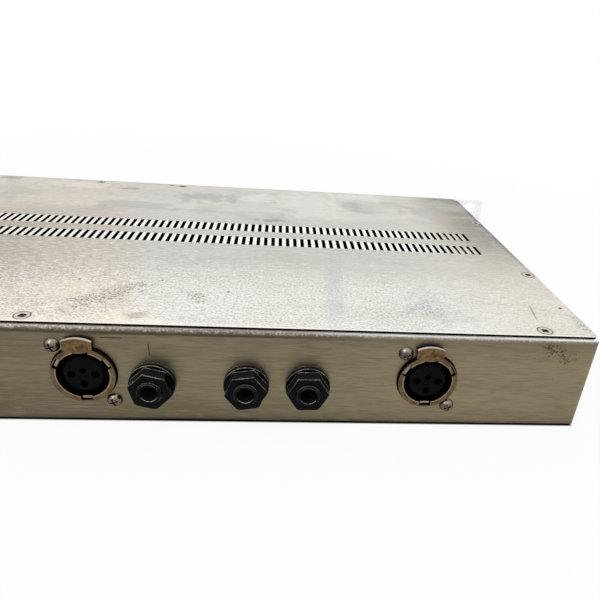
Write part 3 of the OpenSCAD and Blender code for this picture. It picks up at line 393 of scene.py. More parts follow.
def start_finish(name, **plain):
    """New material; plain values go on the shader's own sockets. Returns it and the places on it."""
    material = bpy.data.materials.new(name)
    material.use_nodes = True
    tree = material.node_tree
    for label, value in plain.items():
        tree.nodes["Principled BSDF"].inputs[label.replace("_", " ")].default_value = value
    return material, tree.nodes.new("ShaderNodeTexCoord").outputs["Object"]


def end_finish(material, colour, roughness, bump=None, metal=None):
    """Feeds the shader its colour and roughness and, where given, its bump and its share of metal.

    Bump is a row of height, depth in metres and strength.
    """
    tree = material.node_tree
    feeds = {"Base Color": colour, "Roughness": roughness}
    if metal is not None:
        feeds["Metallic"] = metal
    if bump is not None:
        sockets = dict(zip(("Height", "Distance", "Strength"), bump))
        feeds["Normal"] = put(tree, "Bump", sockets).outputs[0]
    for label, value in feeds.items():
        feed(tree.nodes["Principled BSDF"].inputs[label], value)
    return material


def stains(where, lumps, seed, low, high):
    """Mask of cloudy stains."""
    return use(where, CLOUDS, Lumps=lumps, Seed=seed, Low=low, High=high)["Mask"]


def dots(where, cells, share, size):
    """Mask of scattered dots."""
    return use(where, SPECKLE, Cells=cells, Share=share, Size=size)["Mask"]


def flat_on_cover(place, reach, turn):
    """Where a mark lies on the cover, from millimetres and degrees."""
    return {
        "Centre": (place[0] * MM, place[1] * MM, TOP),
        "Reach": (reach[0] * MM, reach[1] * MM, COVER_MARK_DEPTH),
        "Turn": (0, 0, -math.radians(turn)),
    }


def flat_on_wall(place, reach, turn):
    """Where a mark lies on the rear wall, from millimetres and degrees."""
    return {
        "Centre": (place[0] * MM, REAR, place[1] * MM),
        "Reach": (reach[0] * MM, WALL_MARK_DEPTH, reach[1] * MM),
        "Turn": (0, math.radians(turn), 0),
    }


def add_marks(where, colour, side, marks):
    """Lays placed marks; side tells where a mark lies."""
    for place, reach, turn, ragged, grit, strength, shade in marks:
        mark = use(where, BLOTCH, Ragged=ragged, Grit=grit, **side(place, reach, turn))["Mask"]
        colour = lay(colour, mark, strength, shade)
    return colour


def cover_base(where):
    """Cream sheet at one end and cool grey at the other; painted shade makes it duller towards the front
    and a painted sheen paler at the rear.
    """
    x, y = parts(where)[:2]
    slant = calc("MULTIPLY_ADD", y, 0.247, x)
    cream = ease(slant, -0.024, -0.004)
    colour = mix(cream, tone(217, 217, 210), tone(219, 207, 191))
    # Painted shade towards the front
    dull = both(ease(y, -0.01, -0.07), spread(cream, 1.0, 0.45))
    colour = lay(colour, dull, 0.6, tone(198, 194, 185))
    by_slots = both(ease(y, 0.074, 0.03), ease(y, -0.045, -0.01))
    shade = mix(cream, tone(195, 194, 188), tone(195, 183, 169))
    colour = lay(colour, by_slots, 0.9, shade)
    # Painted sheen towards the rear
    pale = mix(cream, tone(236, 237, 231), tone(238, 226, 207))
    colour = lay(colour, ease(y, 0.05, 0.095), 0.75, pale)
    colour = lay(colour, ease(x, -0.15, -0.21), 0.7, tone(216, 210, 197))
    inner = both(ease(y, -0.055, 0.01), ease(y, 0.095, 0.06))
    cream_end = both(ease(x, -0.02, 0.05), inner)
    colour = lay(colour, cream_end, 0.95, tone(166, 155, 143))
    to_front = ease(y, 0.07, -0.03)
    far_end = both(ease(x, -0.174, -0.214), to_front)
    colour = lay(colour, far_end, 0.95, tone(128, 122, 108))
    by_end = ease(x, COVER_LOW.x + 0.0030, COVER_LOW.x + 0.0012)
    return lay(colour, both(by_end, to_front), 0.9, tone(72, 68, 60))


def cover_weather(where, colour):
    """Grey clouds all over, bluish ones towards the front, and broad streaks along the brushing."""
    y = parts(where)[1]
    broad = stains(where, (9, 24, 24), 3.1, 0.45, 0.68)
    colour = lay(colour, broad, 0.4, tone(190, 187, 179))
    front = ease(y, -0.005, -0.04)
    bluish = both(stains(where, (26, 34, 34), 6.3, 0.47, 0.66), front)
    colour = lay(colour, bluish, 0.75, tone(174, 172, 168))
    small = stains(where, (40, 80, 80), 8.4, 0.5, 0.72)
    colour = lay(colour, small, 0.25, tone(184, 179, 169))
    streak = noise(vector_calc("MULTIPLY", where, (25, 520, 520))[0], 1.0, 2.0, 0.5)
    colour = lay(colour, ease(streak, 0.5, 0.75), 0.2, tone(180, 176, 167))
    return lay(colour, ease(streak, 0.5, 0.25), 0.2, tone(244, 242, 236))


def cover_specks(where, colour):
    """Short dashes of brushing all over, with frosting and white and dark specks towards the rear edge."""
    x, y = parts(where)[:2]
    coarser = spread(ease(x, -0.1, 0.0), 0.45, 1.0)
    dash = use(where, GRAIN, Lines=(240, 1500, 1500), Coarse=0.0)["Tone"]
    crisp = both(spread(ease(y, -0.06, 0.07), 0.35, 1.0), coarser)
    dark_dash = both(ease(dash, 0.5, 0.9), crisp)
    colour = lay(colour, dark_dash, 0.42, tone(168, 163, 153))
    white_dash = both(ease(dash, 0.5, 0.1), crisp)
    colour = lay(colour, white_dash, 0.5, WHITE_SPECK)
    grit = noise(where, 1000.0, 1.0, 0.5)
    even = spread(ease(x, -0.18, -0.13), 0.45, 1.0)
    frosted = both(spread(ease(y, 0.03, 0.07), 0.1, 1.0), even)
    dark_grit = both(ease(grit, 0.5, 0.75), frosted)
    colour = lay(colour, dark_grit, 0.55, tone(160, 155, 145))
    white_grit = both(ease(grit, 0.5, 0.25), frosted)
    colour = lay(colour, white_grit, 0.7, WHITE_SPECK)
    near = both(ease(y, 0.02, 0.095), coarser)
    white = both(dots(where, 1100.0, 0.4, 0.45), spread(near, 0.05, 0.75))
    colour = lay(colour, white, 1.0, WHITE_SPECK)
    dark = both(dots(where, 1000.0, 0.2, 0.45), spread(near, 0.08, 0.65))
    colour = lay(colour, dark, 1.0, tone(146, 140, 127))
    hairs = use(where, SCRATCHES, Turn=(0, 0, 0.5), Share=0.46)["Mask"]
    return lay(colour, hairs, 0.3, tone(146, 141, 130))


def cover_slot_rows(where, colour):
    """The bars between the slots, given a painted highlight that makes them bright and nearly white."""
    x, y = parts(where)[:2]
    from_row = apart(apart(y, SLOTS_Y), SLOT_ROW_OFFSET)
    in_reach = ease(calc("ABSOLUTE", x), *SLOT_ROW_END)
    bars = both(ease(from_row, *SLOT_ROW_SIDE), in_reach)
    # Colour of the painted highlight on the bars, at a strength that falls off towards one end
    rubbed = mix(ease(x, -0.06, 0.06), tone(255, 254, 248), tone(253, 247, 238))
    return lay(colour, bars, spread(ease(x, -0.16, -0.19), 0.8, 0.3), rubbed)


def to_cover_screw(where):
    """Distance to the axis of the nearest cover screw, the two sides folded together."""
    x, y = parts(where)[:2]
    side = calc("ABSOLUTE", x)
    nearest = 1.0
    for head_x, head_y in COVER_SCREWS:
        across = minus(side, head_x)
        along = minus(y, head_y)
        square = calc("MULTIPLY_ADD", across, across, both(along, along))
        nearest = calc("MINIMUM", calc("SQRT", square), nearest)
    return nearest


def cover_screw_rings(where, colour):
    """Painted shade: a dark line round each countersunk head, where the gap lies."""
    ring = ease(to_cover_screw(where), *RING_SHADE)
    return lay(colour, ring, 0.75, tone(56, 50, 41))


def cover_edges(where, colour):
    """Cut faces under the top: painted shade, near black, in the slots and at the rear, grey at the two
    ends, and a painted highlight over that shade along the top of the rear edge.
    """
    x, y, z = parts(where)
    # Paler towards the rear edge, more so at one end
    by_rear = ease(y, COVER_HIGH.y - 0.005, COVER_HIGH.y - 0.001)
    rubbed = spread(ease(x, -0.14, -0.06), 0.0, 0.3)
    colour = lay(colour, by_rear, rubbed, tone(253, 251, 244))
    # Painted highlight along the top of the rear edge, broken up by noise
    at_rear = ease(y, COVER_HIGH.y - 0.0008, COVER_HIGH.y - 0.0004)
    worn = spread(noise(where, 240.0, 3.0, 0.6), 0.2, 1.0)
    colour = lay(colour, both(at_rear, worn), 1.0, tone(254, 252, 246))
    ends = calc("GREATER_THAN", calc("ABSOLUTE", x), COVER_HIGH.x - 0.0002)
    # Painted shade on the cut faces: near black in the slots and at the rear
    cut = mix(ends, tone(6, 5, 3), tone(130, 126, 118))
    depth = minus(TOP, z)
    rim = spread(at_rear, 0.00012, 0.0002)
    return mix(calc("GREATER_THAN", depth, rim), colour, cut)


# Marks: place and reach in millimetres, turn in degrees, raggedness, grit, strength and shade
COVER_MARKS = [
    ((-19.7, -91.8), (2.6, 2.0), 0, 0.2, 0.0, 0.85, tone(96, 91, 82)),
    ((4.4, -78.3), (10.0, 3.0), 0, 0.6, 0.2, 0.8, tone(150, 144, 134)),
    ((-45.0, -67.1), (18.0, 13.0), 0, 0.9, 0.2, 0.7, tone(166, 168, 169)),
    ((-62.5, -65.7), (6.5, 12.0), 0, 0.8, 0.2, 0.65, tone(162, 164, 166)),
    ((-89.1, -24.8), (10.0, 3.8), 0, 0.7, 0.3, 0.8, tone(144, 139, 128)),
    ((85.9, -91.2), (12.0, 6.0), 0, 0.8, 0.2, 0.75, tone(158, 152, 143)),
    ((-185.7, -57.5), (16.0, 11.0), 0, 0.9, 0.2, 0.65, tone(176, 176, 173)),
    ((-148.0, -84.0), (22.0, 14.0), 0, 0.5, 0.1, 0.6, tone(230, 229, 223)),
    ((-80.0, -71.0), (15.0, 13.0), 0, 0.5, 0.1, 0.6, tone(230, 229, 223)),
    ((38.0, -82.0), (28.0, 11.0), 0, 0.5, 0.1, 0.6, tone(234, 225, 211)),
    ((-118.0, 66.0), (5.5, 46.0), -4, 0.3, 0.0, 0.35, tone(186, 190, 192)),
    # Painted warm highlight on the cover
    ((-6.0, 76.0), (24.0, 13.0), 0, 0.8, 0.5, 0.3, tone(247, 237, 214)),
    ((-38.0, 99.0), (15.0, 6.0), 0, 0.8, 0.2, 0.5, tone(249, 240, 220)),
    ((-26.0, 80.0), (22.0, 8.0), 42, 0.8, 0.5, 0.4, tone(168, 160, 142)),
    ((-26.0, 80.0), (20.0, 6.0), 42, 0.9, 1.0, 0.95, tone(100, 94, 82)),
    ((-60.5, 80.0), (10.0, 4.4), 133, 0.8, 0.5, 0.35, tone(172, 168, 158)),
    ((-60.5, 80.0), (9.0, 3.4), 133, 0.8, 1.0, 0.85, tone(108, 103, 92)),
    ((-40.3, 97.5), (5.0, 4.0), 0, 0.6, 0.4, 0.75, tone(150, 146, 130)),
    ((-9.6, 67.0), (0.9, 0.9), 0, 0.0, 0.0, 0.9, tone(70, 66, 60)),
    ((-72.3, 74.7), (0.8, 0.8), 0, 0.0, 0.0, 0.9, tone(70, 66, 60)),
    ((-112.0, -60.0), (24.0, 36.0), 0, 0.6, 0.0, 0.6, tone(226, 226, 220)),
    ((-157.0, 80.0), (13.0, 17.0), 8, 1.0, 0.5, 0.4, tone(172, 175, 178)),
    ((-155.2, 84.7), (9.0, 6.0), 10, 1.0, 1.0, 0.6, tone(134, 135, 136)),
    ((-142.7, 58.2), (6.0, 3.0), 20, 0.9, 0.8, 0.6, tone(160, 160, 156)),
    ((-202.1, 84.2), (9.5, 0.5), 80, 0.1, 0.3, 0.9, tone(106, 100, 88)),
    ((-219.0, 93.0), (3.0, 11.0), 0, 0.9, 0.9, 0.75, tone(116, 98, 80)),
    ((-216.4, 79.6), (1.3, 1.2), 0, 0.4, 0.0, 0.95, tone(60, 52, 42)),
]


def cover_steel():
    """Bright brushed sheet: weathered base, specks, rubbed slot rows, placed scuffs and dark cut edges."""
    material, where = start_finish("cover_steel", Metallic=1.0)
    colour = cover_weather(where, cover_base(where))
    colour = cover_specks(where, colour)
    colour = cover_slot_rows(where, colour)
    colour = add_marks(where, colour, flat_on_cover, COVER_MARKS)
    colour = cover_edges(where, cover_screw_rings(where, colour))
    grain = use(where, GRAIN, Lines=(70, 2200, 2200))
    rough = spread(grain["Tone"], 0.34, 0.46)
    return end_finish(material, colour, rough, (grain["Height"], SHEET_RELIEF, 0.5))


# Tones of the rear wall by height in millimetres, up to a top in metres: painted shade at the foot, an
# olive tan of tarnish and painted shade on the wall, and a painted highlight rising to near white on the
# bend
WALL_TONES_TOP = 0.043
WALL_TONES = [
    (0.3, tone(12, 9, 6)),
    (1.6, tone(22, 18, 13)),
    (2.3, tone(78, 70, 54)),
    (3.2, tone(104, 96, 77)),
    (12.0, tone(122, 113, 91)),
    (26.0, tone(128, 119, 96)),
    (36.0, tone(124, 115, 93)),
    (40.8, tone(120, 110, 91)),
    (41.5, tone(126, 117, 102)),
    (41.85, tone(158, 151, 138)),
    (42.1, tone(208, 203, 193)),
    (42.3, tone(254, 251, 245)),
]
WALL_MARKS = [
    # Painted reflection of the mic socket's tab, a dark patch above it
    ((-152.5, 39.2), (7.5, 2.8), 0, 0.3, 0.2, 0.85, tone(84, 77, 66)),
    ((-205.0, 36.2), (9.5, 4.4), 26, 0.8, 1.0, 0.9, tone(76, 62, 43)),
    ((-201.0, 38.6), (7.0, 0.6), 20, 0.2, 0.4, 0.75, tone(78, 64, 45)),
    ((-208.0, 34.4), (5.0, 0.5), 32, 0.2, 0.4, 0.8, tone(72, 58, 40)),
    ((30.0, 12.0), (30.0, 9.0), 0, 0.7, 0.2, 0.3, tone(92, 84, 66)),
]


def on_wall(where):
    """1 on the upright wall, 0 on the bend above it."""
    return ease(parts(where)[2], 0.0405, 0.0400)


def on_crest(where):
    """Share by which the bend has turned over at the top of the tray."""
    return ease(parts(where)[2], 0.0414, 0.0421)


def wall_base(where):
    """Tones by height, with painted shade at the foot and a painted highlight on the bend, darker towards
    one end.
    """
    x, z = parts(where)[::2]
    stops = [(height * MM, colour) for height, colour in WALL_TONES]
    left = both(ease(x, -0.09, 0.02), on_wall(where))
    return lay(ramp(z, 0.0, WALL_TONES_TOP, stops), left, 0.45, tone(104, 97, 78))


def bend_tones(where, colour):
    """The bend: a band of painted shade, then a crest with a dull painted highlight at one end and a nearly
    white painted highlight at the other.
    """
    x, z = parts(where)[::2]
    dull_end = ease(x, -0.15, -0.08)
    # Painted shade under the bend
    band = both(ease(apart(z, 0.0405), 0.0010, 0.0002), dull_end)
    colour = lay(colour, band, 0.85, tone(68, 59, 48))
    # Dull painted highlight on the crest
    colour = lay(colour, both(on_crest(where), dull_end), 0.8, tone(190, 182, 171))
    # Painted shade under the dull crest
    under_crest = both(ease(z, 0.0426, 0.0421), ease(z, 0.0400, 0.0412))
    colour = lay(colour, both(under_crest, dull_end), 0.75, tone(84, 76, 65))
    # Nearly white painted highlight on the crest
    bright_end = both(ease(z, 0.0416, 0.0424), ease(x, -0.10, -0.16))
    return lay(colour, bright_end, 0.9, tone(255, 254, 248))


def wall_tarnish(where, colour):
    """Painted shade in the upright corners, a warm tint at one end and broad clouds."""
    x, y, z = parts(where)
    by_side = ease(calc("ABSOLUTE", x), TRAY_HIGH.x - 0.0016, TRAY_HIGH.x - 0.0008)
    corner = both(by_side, ease(y, REAR - 0.004, REAR - 0.002))
    # Painted shade along the upright corners
    colour = lay(colour, corner, 0.7, tone(46, 39, 29))
    half_way = both(ease(z, 0.043, 0.028), ease(z, -0.006, 0.012))
    warm = both(ease(x, -0.07, -0.18), half_way)
    colour = lay(colour, warm, 0.7, tone(146, 131, 105))
    broad = both(stains(where, (14, 14, 45), 1.7, 0.45, 0.72), on_wall(where))
    return lay(colour, broad, 0.3, tone(104, 95, 75))


def wall_brushing(where, colour):
    """Fine brushing along the wall in two tones, with pits and hair scratches."""
    wall = on_wall(where)
    dash = use(where, GRAIN, Lines=(130, 130, 1700), Coarse=0.25)["Tone"]
    pale_dash = both(ease(dash, 0.5, 0.95), wall)
    colour = lay(colour, pale_dash, 0.28, tone(150, 138, 112))
    dark_dash = both(ease(dash, 0.5, 0.05), wall)
    colour = lay(colour, dark_dash, 0.26, tone(88, 79, 61))
    pits = both(dots(where, 800.0, 0.08, 0.35), wall)
    colour = lay(colour, pits, 0.25, tone(66, 58, 45))
    hairs = use(where, SCRATCHES, Turn=(0, 0.35, 0), Lines=(25, 25, 300), Share=0.42)["Mask"]
    return lay(colour, both(hairs, wall), 0.3, tone(166, 155, 130))


def bend_wear(where, colour):
    """Rubbed patches and fine sparkle on the bend."""
    bend = ease(parts(where)[2], 0.0408, 0.0418)
    rubbed = ease(noise(where, 26.0, 5.0, 0.75), 0.54, 0.38)
    colour = lay(colour, both(rubbed, bend), 0.25, tone(160, 151, 137))
    sparkle = ease(noise(where, 1100.0, 2.0, 0.6), 0.45, 0.65)
    return lay(colour, both(sparkle, bend), 0.3, tone(240, 236, 228))


def tray_steel():
    """Tarnished brushed sheet: olive tan walls partly darkened by painted shade, painted shade at the foot
    and corners, a pale bend painted as a highlight and worn matt.
    """
    material, where = start_finish("tray_steel", Metallic=1.0)
    colour = bend_tones(where, wall_base(where))
    colour = wall_brushing(where, wall_tarnish(where, colour))
    colour = add_marks(where, colour, flat_on_wall, WALL_MARKS)
    colour = bend_wear(where, colour)
    grain = use(where, GRAIN, Lines=(40, 40, 1500))
    rough = spread(grain["Tone"], 0.36, 0.5)
    metal = spread(on_crest(where), 1.0, 0.4)
    return end_finish(material, colour, rough, (grain["Height"], SHEET_RELIEF, 0.5), metal)


def plated_steel(name, base, worn, roughness, lit=HIGHLIGHT_METAL, dirt_and_shade=SOOT_AND_SHADE, shine=0.45, glint=0.4, matt=0.0):
    """Plated metal: fine mottling and pits, painted highlights on the edges and upper sides, grime and
    painted shade in the corners.

    Matt is the share by which the upper sides scatter light as a worn, dusty surface does.
    """
    material, where = start_finish(name, Metallic=1.0)
    mottle = stains(where, (560, 560, 560), 0.0, 0.4, 0.66)
    colour = lay(base, mottle, 0.75, worn)
    colour = lay(colour, dots(where, 1600.0, 0.15, 0.35), 0.5, dirt_and_shade)
    upper = facing_up(where, 0.25, 0.8)
    # Painted highlight on the upper sides, as if lit from above
    colour = lay(colour, upper, shine, lit)
    metal = spread(upper, 1.0, 1.0 - matt) if matt else 1.0
    # Painted highlight along sharp edges
    colour = lay(colour, use(where, GLINT, Reach=0.0003)["Mask"], glint, lit)
    # Grime and painted shade in corners and recesses
    colour = lay(colour, use(where, CREVICE, Reach=0.0010)["Mask"], 0.9, dirt_and_shade)
    rough = spread(mottle, roughness, roughness + 0.14)
    return end_finish(material, colour, rough, (mottle, PLATE_RELIEF, 0.4), metal)


def cover_screw_zinc():
    """Countersunk heads of the cover: pale worn zinc with painted shade at the rim and round the recess."""
    material, where = start_finish("cover_screw_zinc", Metallic=1.0)
    mottle = stains(where, (560, 560, 560), 0.0, 0.4, 0.66)
    colour = lay(tone(218, 210, 196), mottle, 0.6, tone(166, 156, 140))
    from_axis = to_cover_screw(where)
    ragged = calc("MULTIPLY_ADD", noise(where, 700.0, 3.0, 0.6), -0.0012, from_axis)
    # Painted shade in the cross recess
    colour = lay(colour, ease(ragged, *RECESS_SHADE), 0.9, tone(34, 29, 22))
    uneven = spread(noise(where, 300.0, 2.0, 0.5), 0.2, 1.0)
    # Painted shade round the rim of the head
    rim = both(ease(from_axis, *HEAD_RIM_SHADE), uneven)
    colour = lay(colour, rim, 0.9, tone(70, 60, 48))
    return end_finish(material, colour, spread(mottle, 0.26, 0.4), (mottle, PLATE_RELIEF, 0.4))


def socket_plating(socket):
    """Nickel gone brown: mottled ring face, a painted highlight on the bore rim, painted shade on the outer
    side and below the wall, spring leaves bright where painted as lit and dim where painted as shaded.
    """
    material, where = start_finish(socket + "_nickel", Metallic=1.0)
    axis = middle(socket + "_insert")
    y = parts(where)[1]
    away = vector_calc("SUBTRACT", where, tuple(axis))[0]
    radius = vector_calc("LENGTH", vector_calc("MULTIPLY", away, (1, 0, 1))[0])["Value"]
    mottle = stains(where, (380, 380, 380), 2.0, 0.4, 0.68)
    colour = lay(tone(106, 89, 66), mottle, 0.8, tone(74, 59, 42))
    colour = lay(colour, dots(where, 1500.0, 0.15, 0.35), 0.5, tone(50, 40, 28))
    flat = ease(parts(true_normal(home(where)))[1], 0.5, 0.9)
    # Painted highlight along the rim of the bore
    rim = both(ease(radius, *BORE_RIM), flat)
    colour = lay(colour, rim, 0.7, tone(158, 138, 118))
    # Painted shade on the ring's outer side
    outer = ease(radius, *RING_SIDE)
    colour = lay(colour, outer, 0.8, tone(34, 29, 21))
    # Painted shade below the wall
    shade_below_wall = ease(y, REAR + 0.0002, REAR - 0.0008)
    colour = lay(colour, shade_below_wall, 0.9, tone(16, 14, 10))
    in_notch = both(ease(radius, *NOTCH_FLOOR), flat)
    under_ring = both(ease(y, REAR + 0.0012, REAR + 0.0010), in_notch)
    leaf = both(ease(y, REAR + 0.0002, REAR + 0.0006), under_ring)
    beside, above = parts(away)[::2]
    # Painted light and shade on the spring leaves: bright to one side and below, dim on the other side
    lit = calc("MAXIMUM", ease(beside, 0.0, 0.005), ease(above, 0.0, -0.005))
    colour = lay(colour, leaf, spread(lit, 0.15, 0.9), tone(148, 136, 122))
    return end_finish(material, colour, spread(mottle, 0.22, 0.38), (mottle, PLATE_RELIEF, 0.4))


def moulded_plastic(name, base, grey, roughness, gloss=0.5, dust_and_sheen=0.05, edge=0.15, edge_reach=0.00025):
    """Moulded plastic: fine texture, handling marks, painted highlights on the upper edges, dusty upper
    sides that on dark plastics also carry a painted sheen.
    """
    material, where = start_finish(name, Specular_IOR_Level=gloss)
    smear = stains(where, (160, 160, 160), 0.0, 0.5, 0.78)
    colour = lay(base, smear, 0.5, grey)
    hairs = use(where, SCRATCHES, Turn=(0.4, 0.7, 0.2), Lines=(150, 900, 900), Width=0.02)["Mask"]
    colour = lay(colour, hairs, 0.35, grey)
    # Upper sides tinted grey: dusty, and on dark plastics a painted sheen
    colour = lay(colour, facing_up(where, 0.15, 0.8), dust_and_sheen, tone(150, 147, 140))
    # Painted highlight on the upper edges
    edge_highlight = spread(stains(where, (260, 260, 260), 4.0, 0.4, 0.58), 0.4 * edge, edge)
    colour = lay(colour, use(where, GLINT, Reach=edge_reach)["Upper"], edge_highlight, tone(222, 220, 214))
    rough = calc("MULTIPLY_ADD", hairs, 0.15, spread(smear, roughness, roughness + 0.15))
    return end_finish(material, colour, rough, (noise(where, 1500.0, 2.0, 0.5), PLATE_RELIEF, 0.35))


def panel_paint():
    """Ivory satin paint on the front face, yellowed, with chipped edges; bare bright metal elsewhere."""
    material, where = start_finish("panel_paint", Specular_IOR_Level=0.4)
    y = parts(where)[1]
    yellow = stains(where, (9, 9, 24), 5.0, 0.4, 0.7)
    colour = lay(tone(236, 232, 218), yellow, 0.6, tone(226, 219, 198))
    colour = lay(colour, dots(where, 420.0, 0.06, 0.2), 0.45, tone(120, 112, 96))
    corners = {"Low": tuple(PANEL_LOW), "High": tuple(PANEL_HIGH)}
    worn = use(where, EDGE_WEAR, Width=0.0007, Ragged=1.0, **corners)["Mask"]
    behind = ease(y, PANEL_LOW.y + 0.0003, PANEL_LOW.y + 0.0005)
    grain = use(where, GRAIN, Lines=(60, 60, 1800))["Tone"]
    metal = mix(grain, tone(252, 252, 251), tone(247, 247, 245))
    bare = calc("MAXIMUM", both(worn, 0.8), behind)
    colour = mix(bare, colour, metal)
    bump = (noise(where, 900.0, 2.0, 0.5), PAINT_RELIEF, 0.3)
    return end_finish(material, colour, spread(yellow, 0.36, 0.48), bump, bare)


def knob_plastic():
    """Dark knob with a painted pointer groove; the mask repeats from knob to knob across the panel."""
    material, where = start_finish("knob_plastic", Specular_IOR_Level=0.35)
    x, y, z = parts(where)
    first = middle("gain_knob")
    pitch = middle("threshold_knob").x - first.x
    across = calc("WRAP", minus(x, first.x), pitch / 2, -pitch / 2)
    slim = calc("LESS_THAN", calc("ABSOLUTE", across), POINTER_HALF_WIDTH)
    depth = minus(y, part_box("gain_knob")[0].y)
    under_top = calc("GREATER_THAN", depth, POINTER_TOP)
    over_foot = calc("LESS_THAN", depth, POINTER_FOOT)
    above = calc("GREATER_THAN", z, first.z + POINTER_START)
    pointer = both(both(slim, above), both(under_top, over_foot))
    grime = stains(where, (200, 200, 200), 0.0, 0.45, 0.75)
    colour = lay(tone(38, 38, 40), grime, 0.5, tone(62, 61, 60))
    # Painted highlight on the knob's edges
    colour = lay(colour, use(where, GLINT, Reach=0.0003)["Mask"], 0.35, tone(120, 118, 114))
    colour = mix(pointer, colour, tone(232, 230, 222))
    bump = (noise(where, 1400.0, 2.0, 0.5), PAINT_RELIEF, 0.4)
    return end_finish(material, colour, spread(grime, 0.42, 0.58), bump)


def meter_window():
    """Dark window with raised segments: green, amber and red along the row, each slightly uneven."""
    material, where = start_finish("meter_window", Specular_IOR_Level=0.5)
    x, y = parts(where)[:2]
    raised = calc("LESS_THAN", y, PANEL_LOW.y + METER_SEGMENT_FACE)
    share = calc("DIVIDE", minus(x, METER_LOW.x), METER_HIGH.x - METER_LOW.x)
    lit = mix(calc("GREATER_THAN", share, AMBER_FROM), tone(52, 96, 44), tone(160, 112, 30))
    lit = mix(calc("GREATER_THAN", share, RED_FROM), lit, tone(140, 34, 24))
    lit = lay(lit, noise(where, 600.0, 3.0, 0.6), 0.4, tone(20, 14, 12))
    smear = stains(where, (90, 90, 160), 0.0, 0.5, 0.8)
    window = lay(tone(18, 12, 12), smear, 0.5, tone(40, 34, 32))
    return end_finish(material, mix(raised, window, lit), spread(smear, 0.12, 0.3))


def lamp_lens():
    """Tinted lens: red along the buttons and green by the power switch, with a faint moulded swirl."""
    material, where = start_finish("lamp_lens", Specular_IOR_Level=0.6)
    by_switch = calc("GREATER_THAN", parts(where)[0], GREEN_LAMPS_FROM)
    colour = mix(by_switch, tone(150, 26, 18), tone(44, 120, 40))
    swirl = noise(where, 900.0, 2.0, 0.5)
    colour = lay(colour, swirl, 0.5, tone(60, 10, 8))
    return end_finish(material, colour, spread(swirl, 0.12, 0.22))


def board_mask():
    """Circuit board: green mask with copper tracks under it and pale pads."""
    material, where = start_finish("board_mask", Specular_IOR_Level=0.5)
    track = put(home(where), "TexBrick", {
        "Vector": where, "Scale": 90.0, "Mortar Size": 0.03,
        "Color1": tone(18, 66, 34), "Color2": tone(22, 78, 40), "Mortar": tone(40, 104, 58),
    }).outputs["Color"]
    pads = dots(where, 240.0, 0.3, 0.2)
    return end_finish(material, mix(pads, track, tone(176, 172, 160)), spread(pads, 0.3, 0.45))


def clear_glass(name, tint):
    """Clear glass with a faint smoky tint and slight waviness."""
    material, where = start_finish(name, Transmission_Weight=0.9, IOR=1.47)
    smoke = noise(where, 120.0, 3.0, 0.5)
    return end_finish(material, mix(smoke, tone(236, 240, 240), tint), spread(smoke, 0.02, 0.12))


def core_tape():
    """Wound tape round the transformer: overlapping turns as a wave about its axis, with creases."""
    material, where = start_finish("core_tape", Specular_IOR_Level=0.4)
    away = vector_calc("SUBTRACT", where, tuple(middle("mains_transformer")))[0]
    x, y = parts(away)[:2]
    angle = calc("ARCTAN2", y, x)
    turn = calc("FRACT", both(angle, TAPE_TURNS / math.tau))
    crease = noise(where, 350.0, 3.0, 0.6)
    colour = mix(ease(turn, 0.7, 1.0), tone(206, 184, 112), tone(150, 128, 66))
    colour = lay(colour, crease, 0.4, tone(178, 150, 84))
    return end_finish(material, colour, spread(crease, 0.25, 0.45), (turn, TAPE_RELIEF, 0.6))


def print_ink(name, base, faded):
    """Screen-printed ink: slightly uneven, thin where it has rubbed."""
    material, where = start_finish(name, Specular_IOR_Level=0.2)
    rubbed = stains(where, (300, 300, 300), 0.0, 0.45, 0.7)
    return end_finish(material, lay(base, rubbed, 0.6, faded), spread(rubbed, 0.45, 0.65))


def dress(names, material):
    """Gives CAD nodes a finish."""
    for name in names:
        slots = NODES[name].data.materials
        slots.clear()
        slots.append(material)


def dress_metal():
    """Finishes of the sheets, screws, sockets and contacts."""
    dress(["top_cover"], cover_steel())
    dress(["chassis_tray"], tray_steel())
    dress(["cover_screws"], cover_screw_zinc())
    for socket in SOCKETS:
        dress([socket + "_shell"], socket_plating(socket))
    # In the plated finishes the colour after the roughness, where given, is the painted highlight on upper
    # sides and edges
    dress(["rear_screws"], plated_steel("rear_screw_zinc", tone(104, 96, 83), tone(64, 57, 47), 0.24,
                                        tone(186, 180, 168), shine=0.5, glint=0.25))
    shafts = [name + "_shaft" for name in KNOBS]
    dress(["board_screws", "transformer_bolt", "transformer_washer", "pot_nuts"] + shafts,
          plated_steel("inner_zinc", tone(190, 186, 174), tone(130, 122, 106), 0.24))
    dress(["panel_screws"],
          plated_steel("screw_black", tone(40, 39, 38), tone(70, 67, 62), 0.3, tone(120, 116, 108)))
    dress(["mic_socket_latch", "line_socket_latch"],
          plated_steel("latch_nickel", tone(114, 92, 64), tone(64, 47, 29), 0.26, tone(240, 229, 217),
                       shine=0.9, glint=0.15, matt=0.8))
    dress(["output_socket_pins", "board_spacers"],
          plated_steel("contact_gold", tone(206, 168, 92), tone(150, 116, 60), 0.22))
    dress(["socket_contacts"],
          plated_steel("contact_dull", tone(60, 50, 32), tone(38, 31, 20), 0.35, tone(80, 66, 42)))
    dress(["jack_contacts", "inlet_pins"],
          plated_steel("contact_tin", tone(200, 200, 196), tone(150, 148, 142), 0.25))
    dress(["pot_bodies"], plated_steel("pot_housing", tone(168, 166, 160), tone(120, 116, 106), 0.35))
    dress(["heat_sink"], plated_steel("sink_aluminium", tone(238, 231, 212), tone(206, 199, 180), 0.3,
                                      tone(244, 237, 218), tone(150, 143, 126), shine=0.6, matt=0.7))


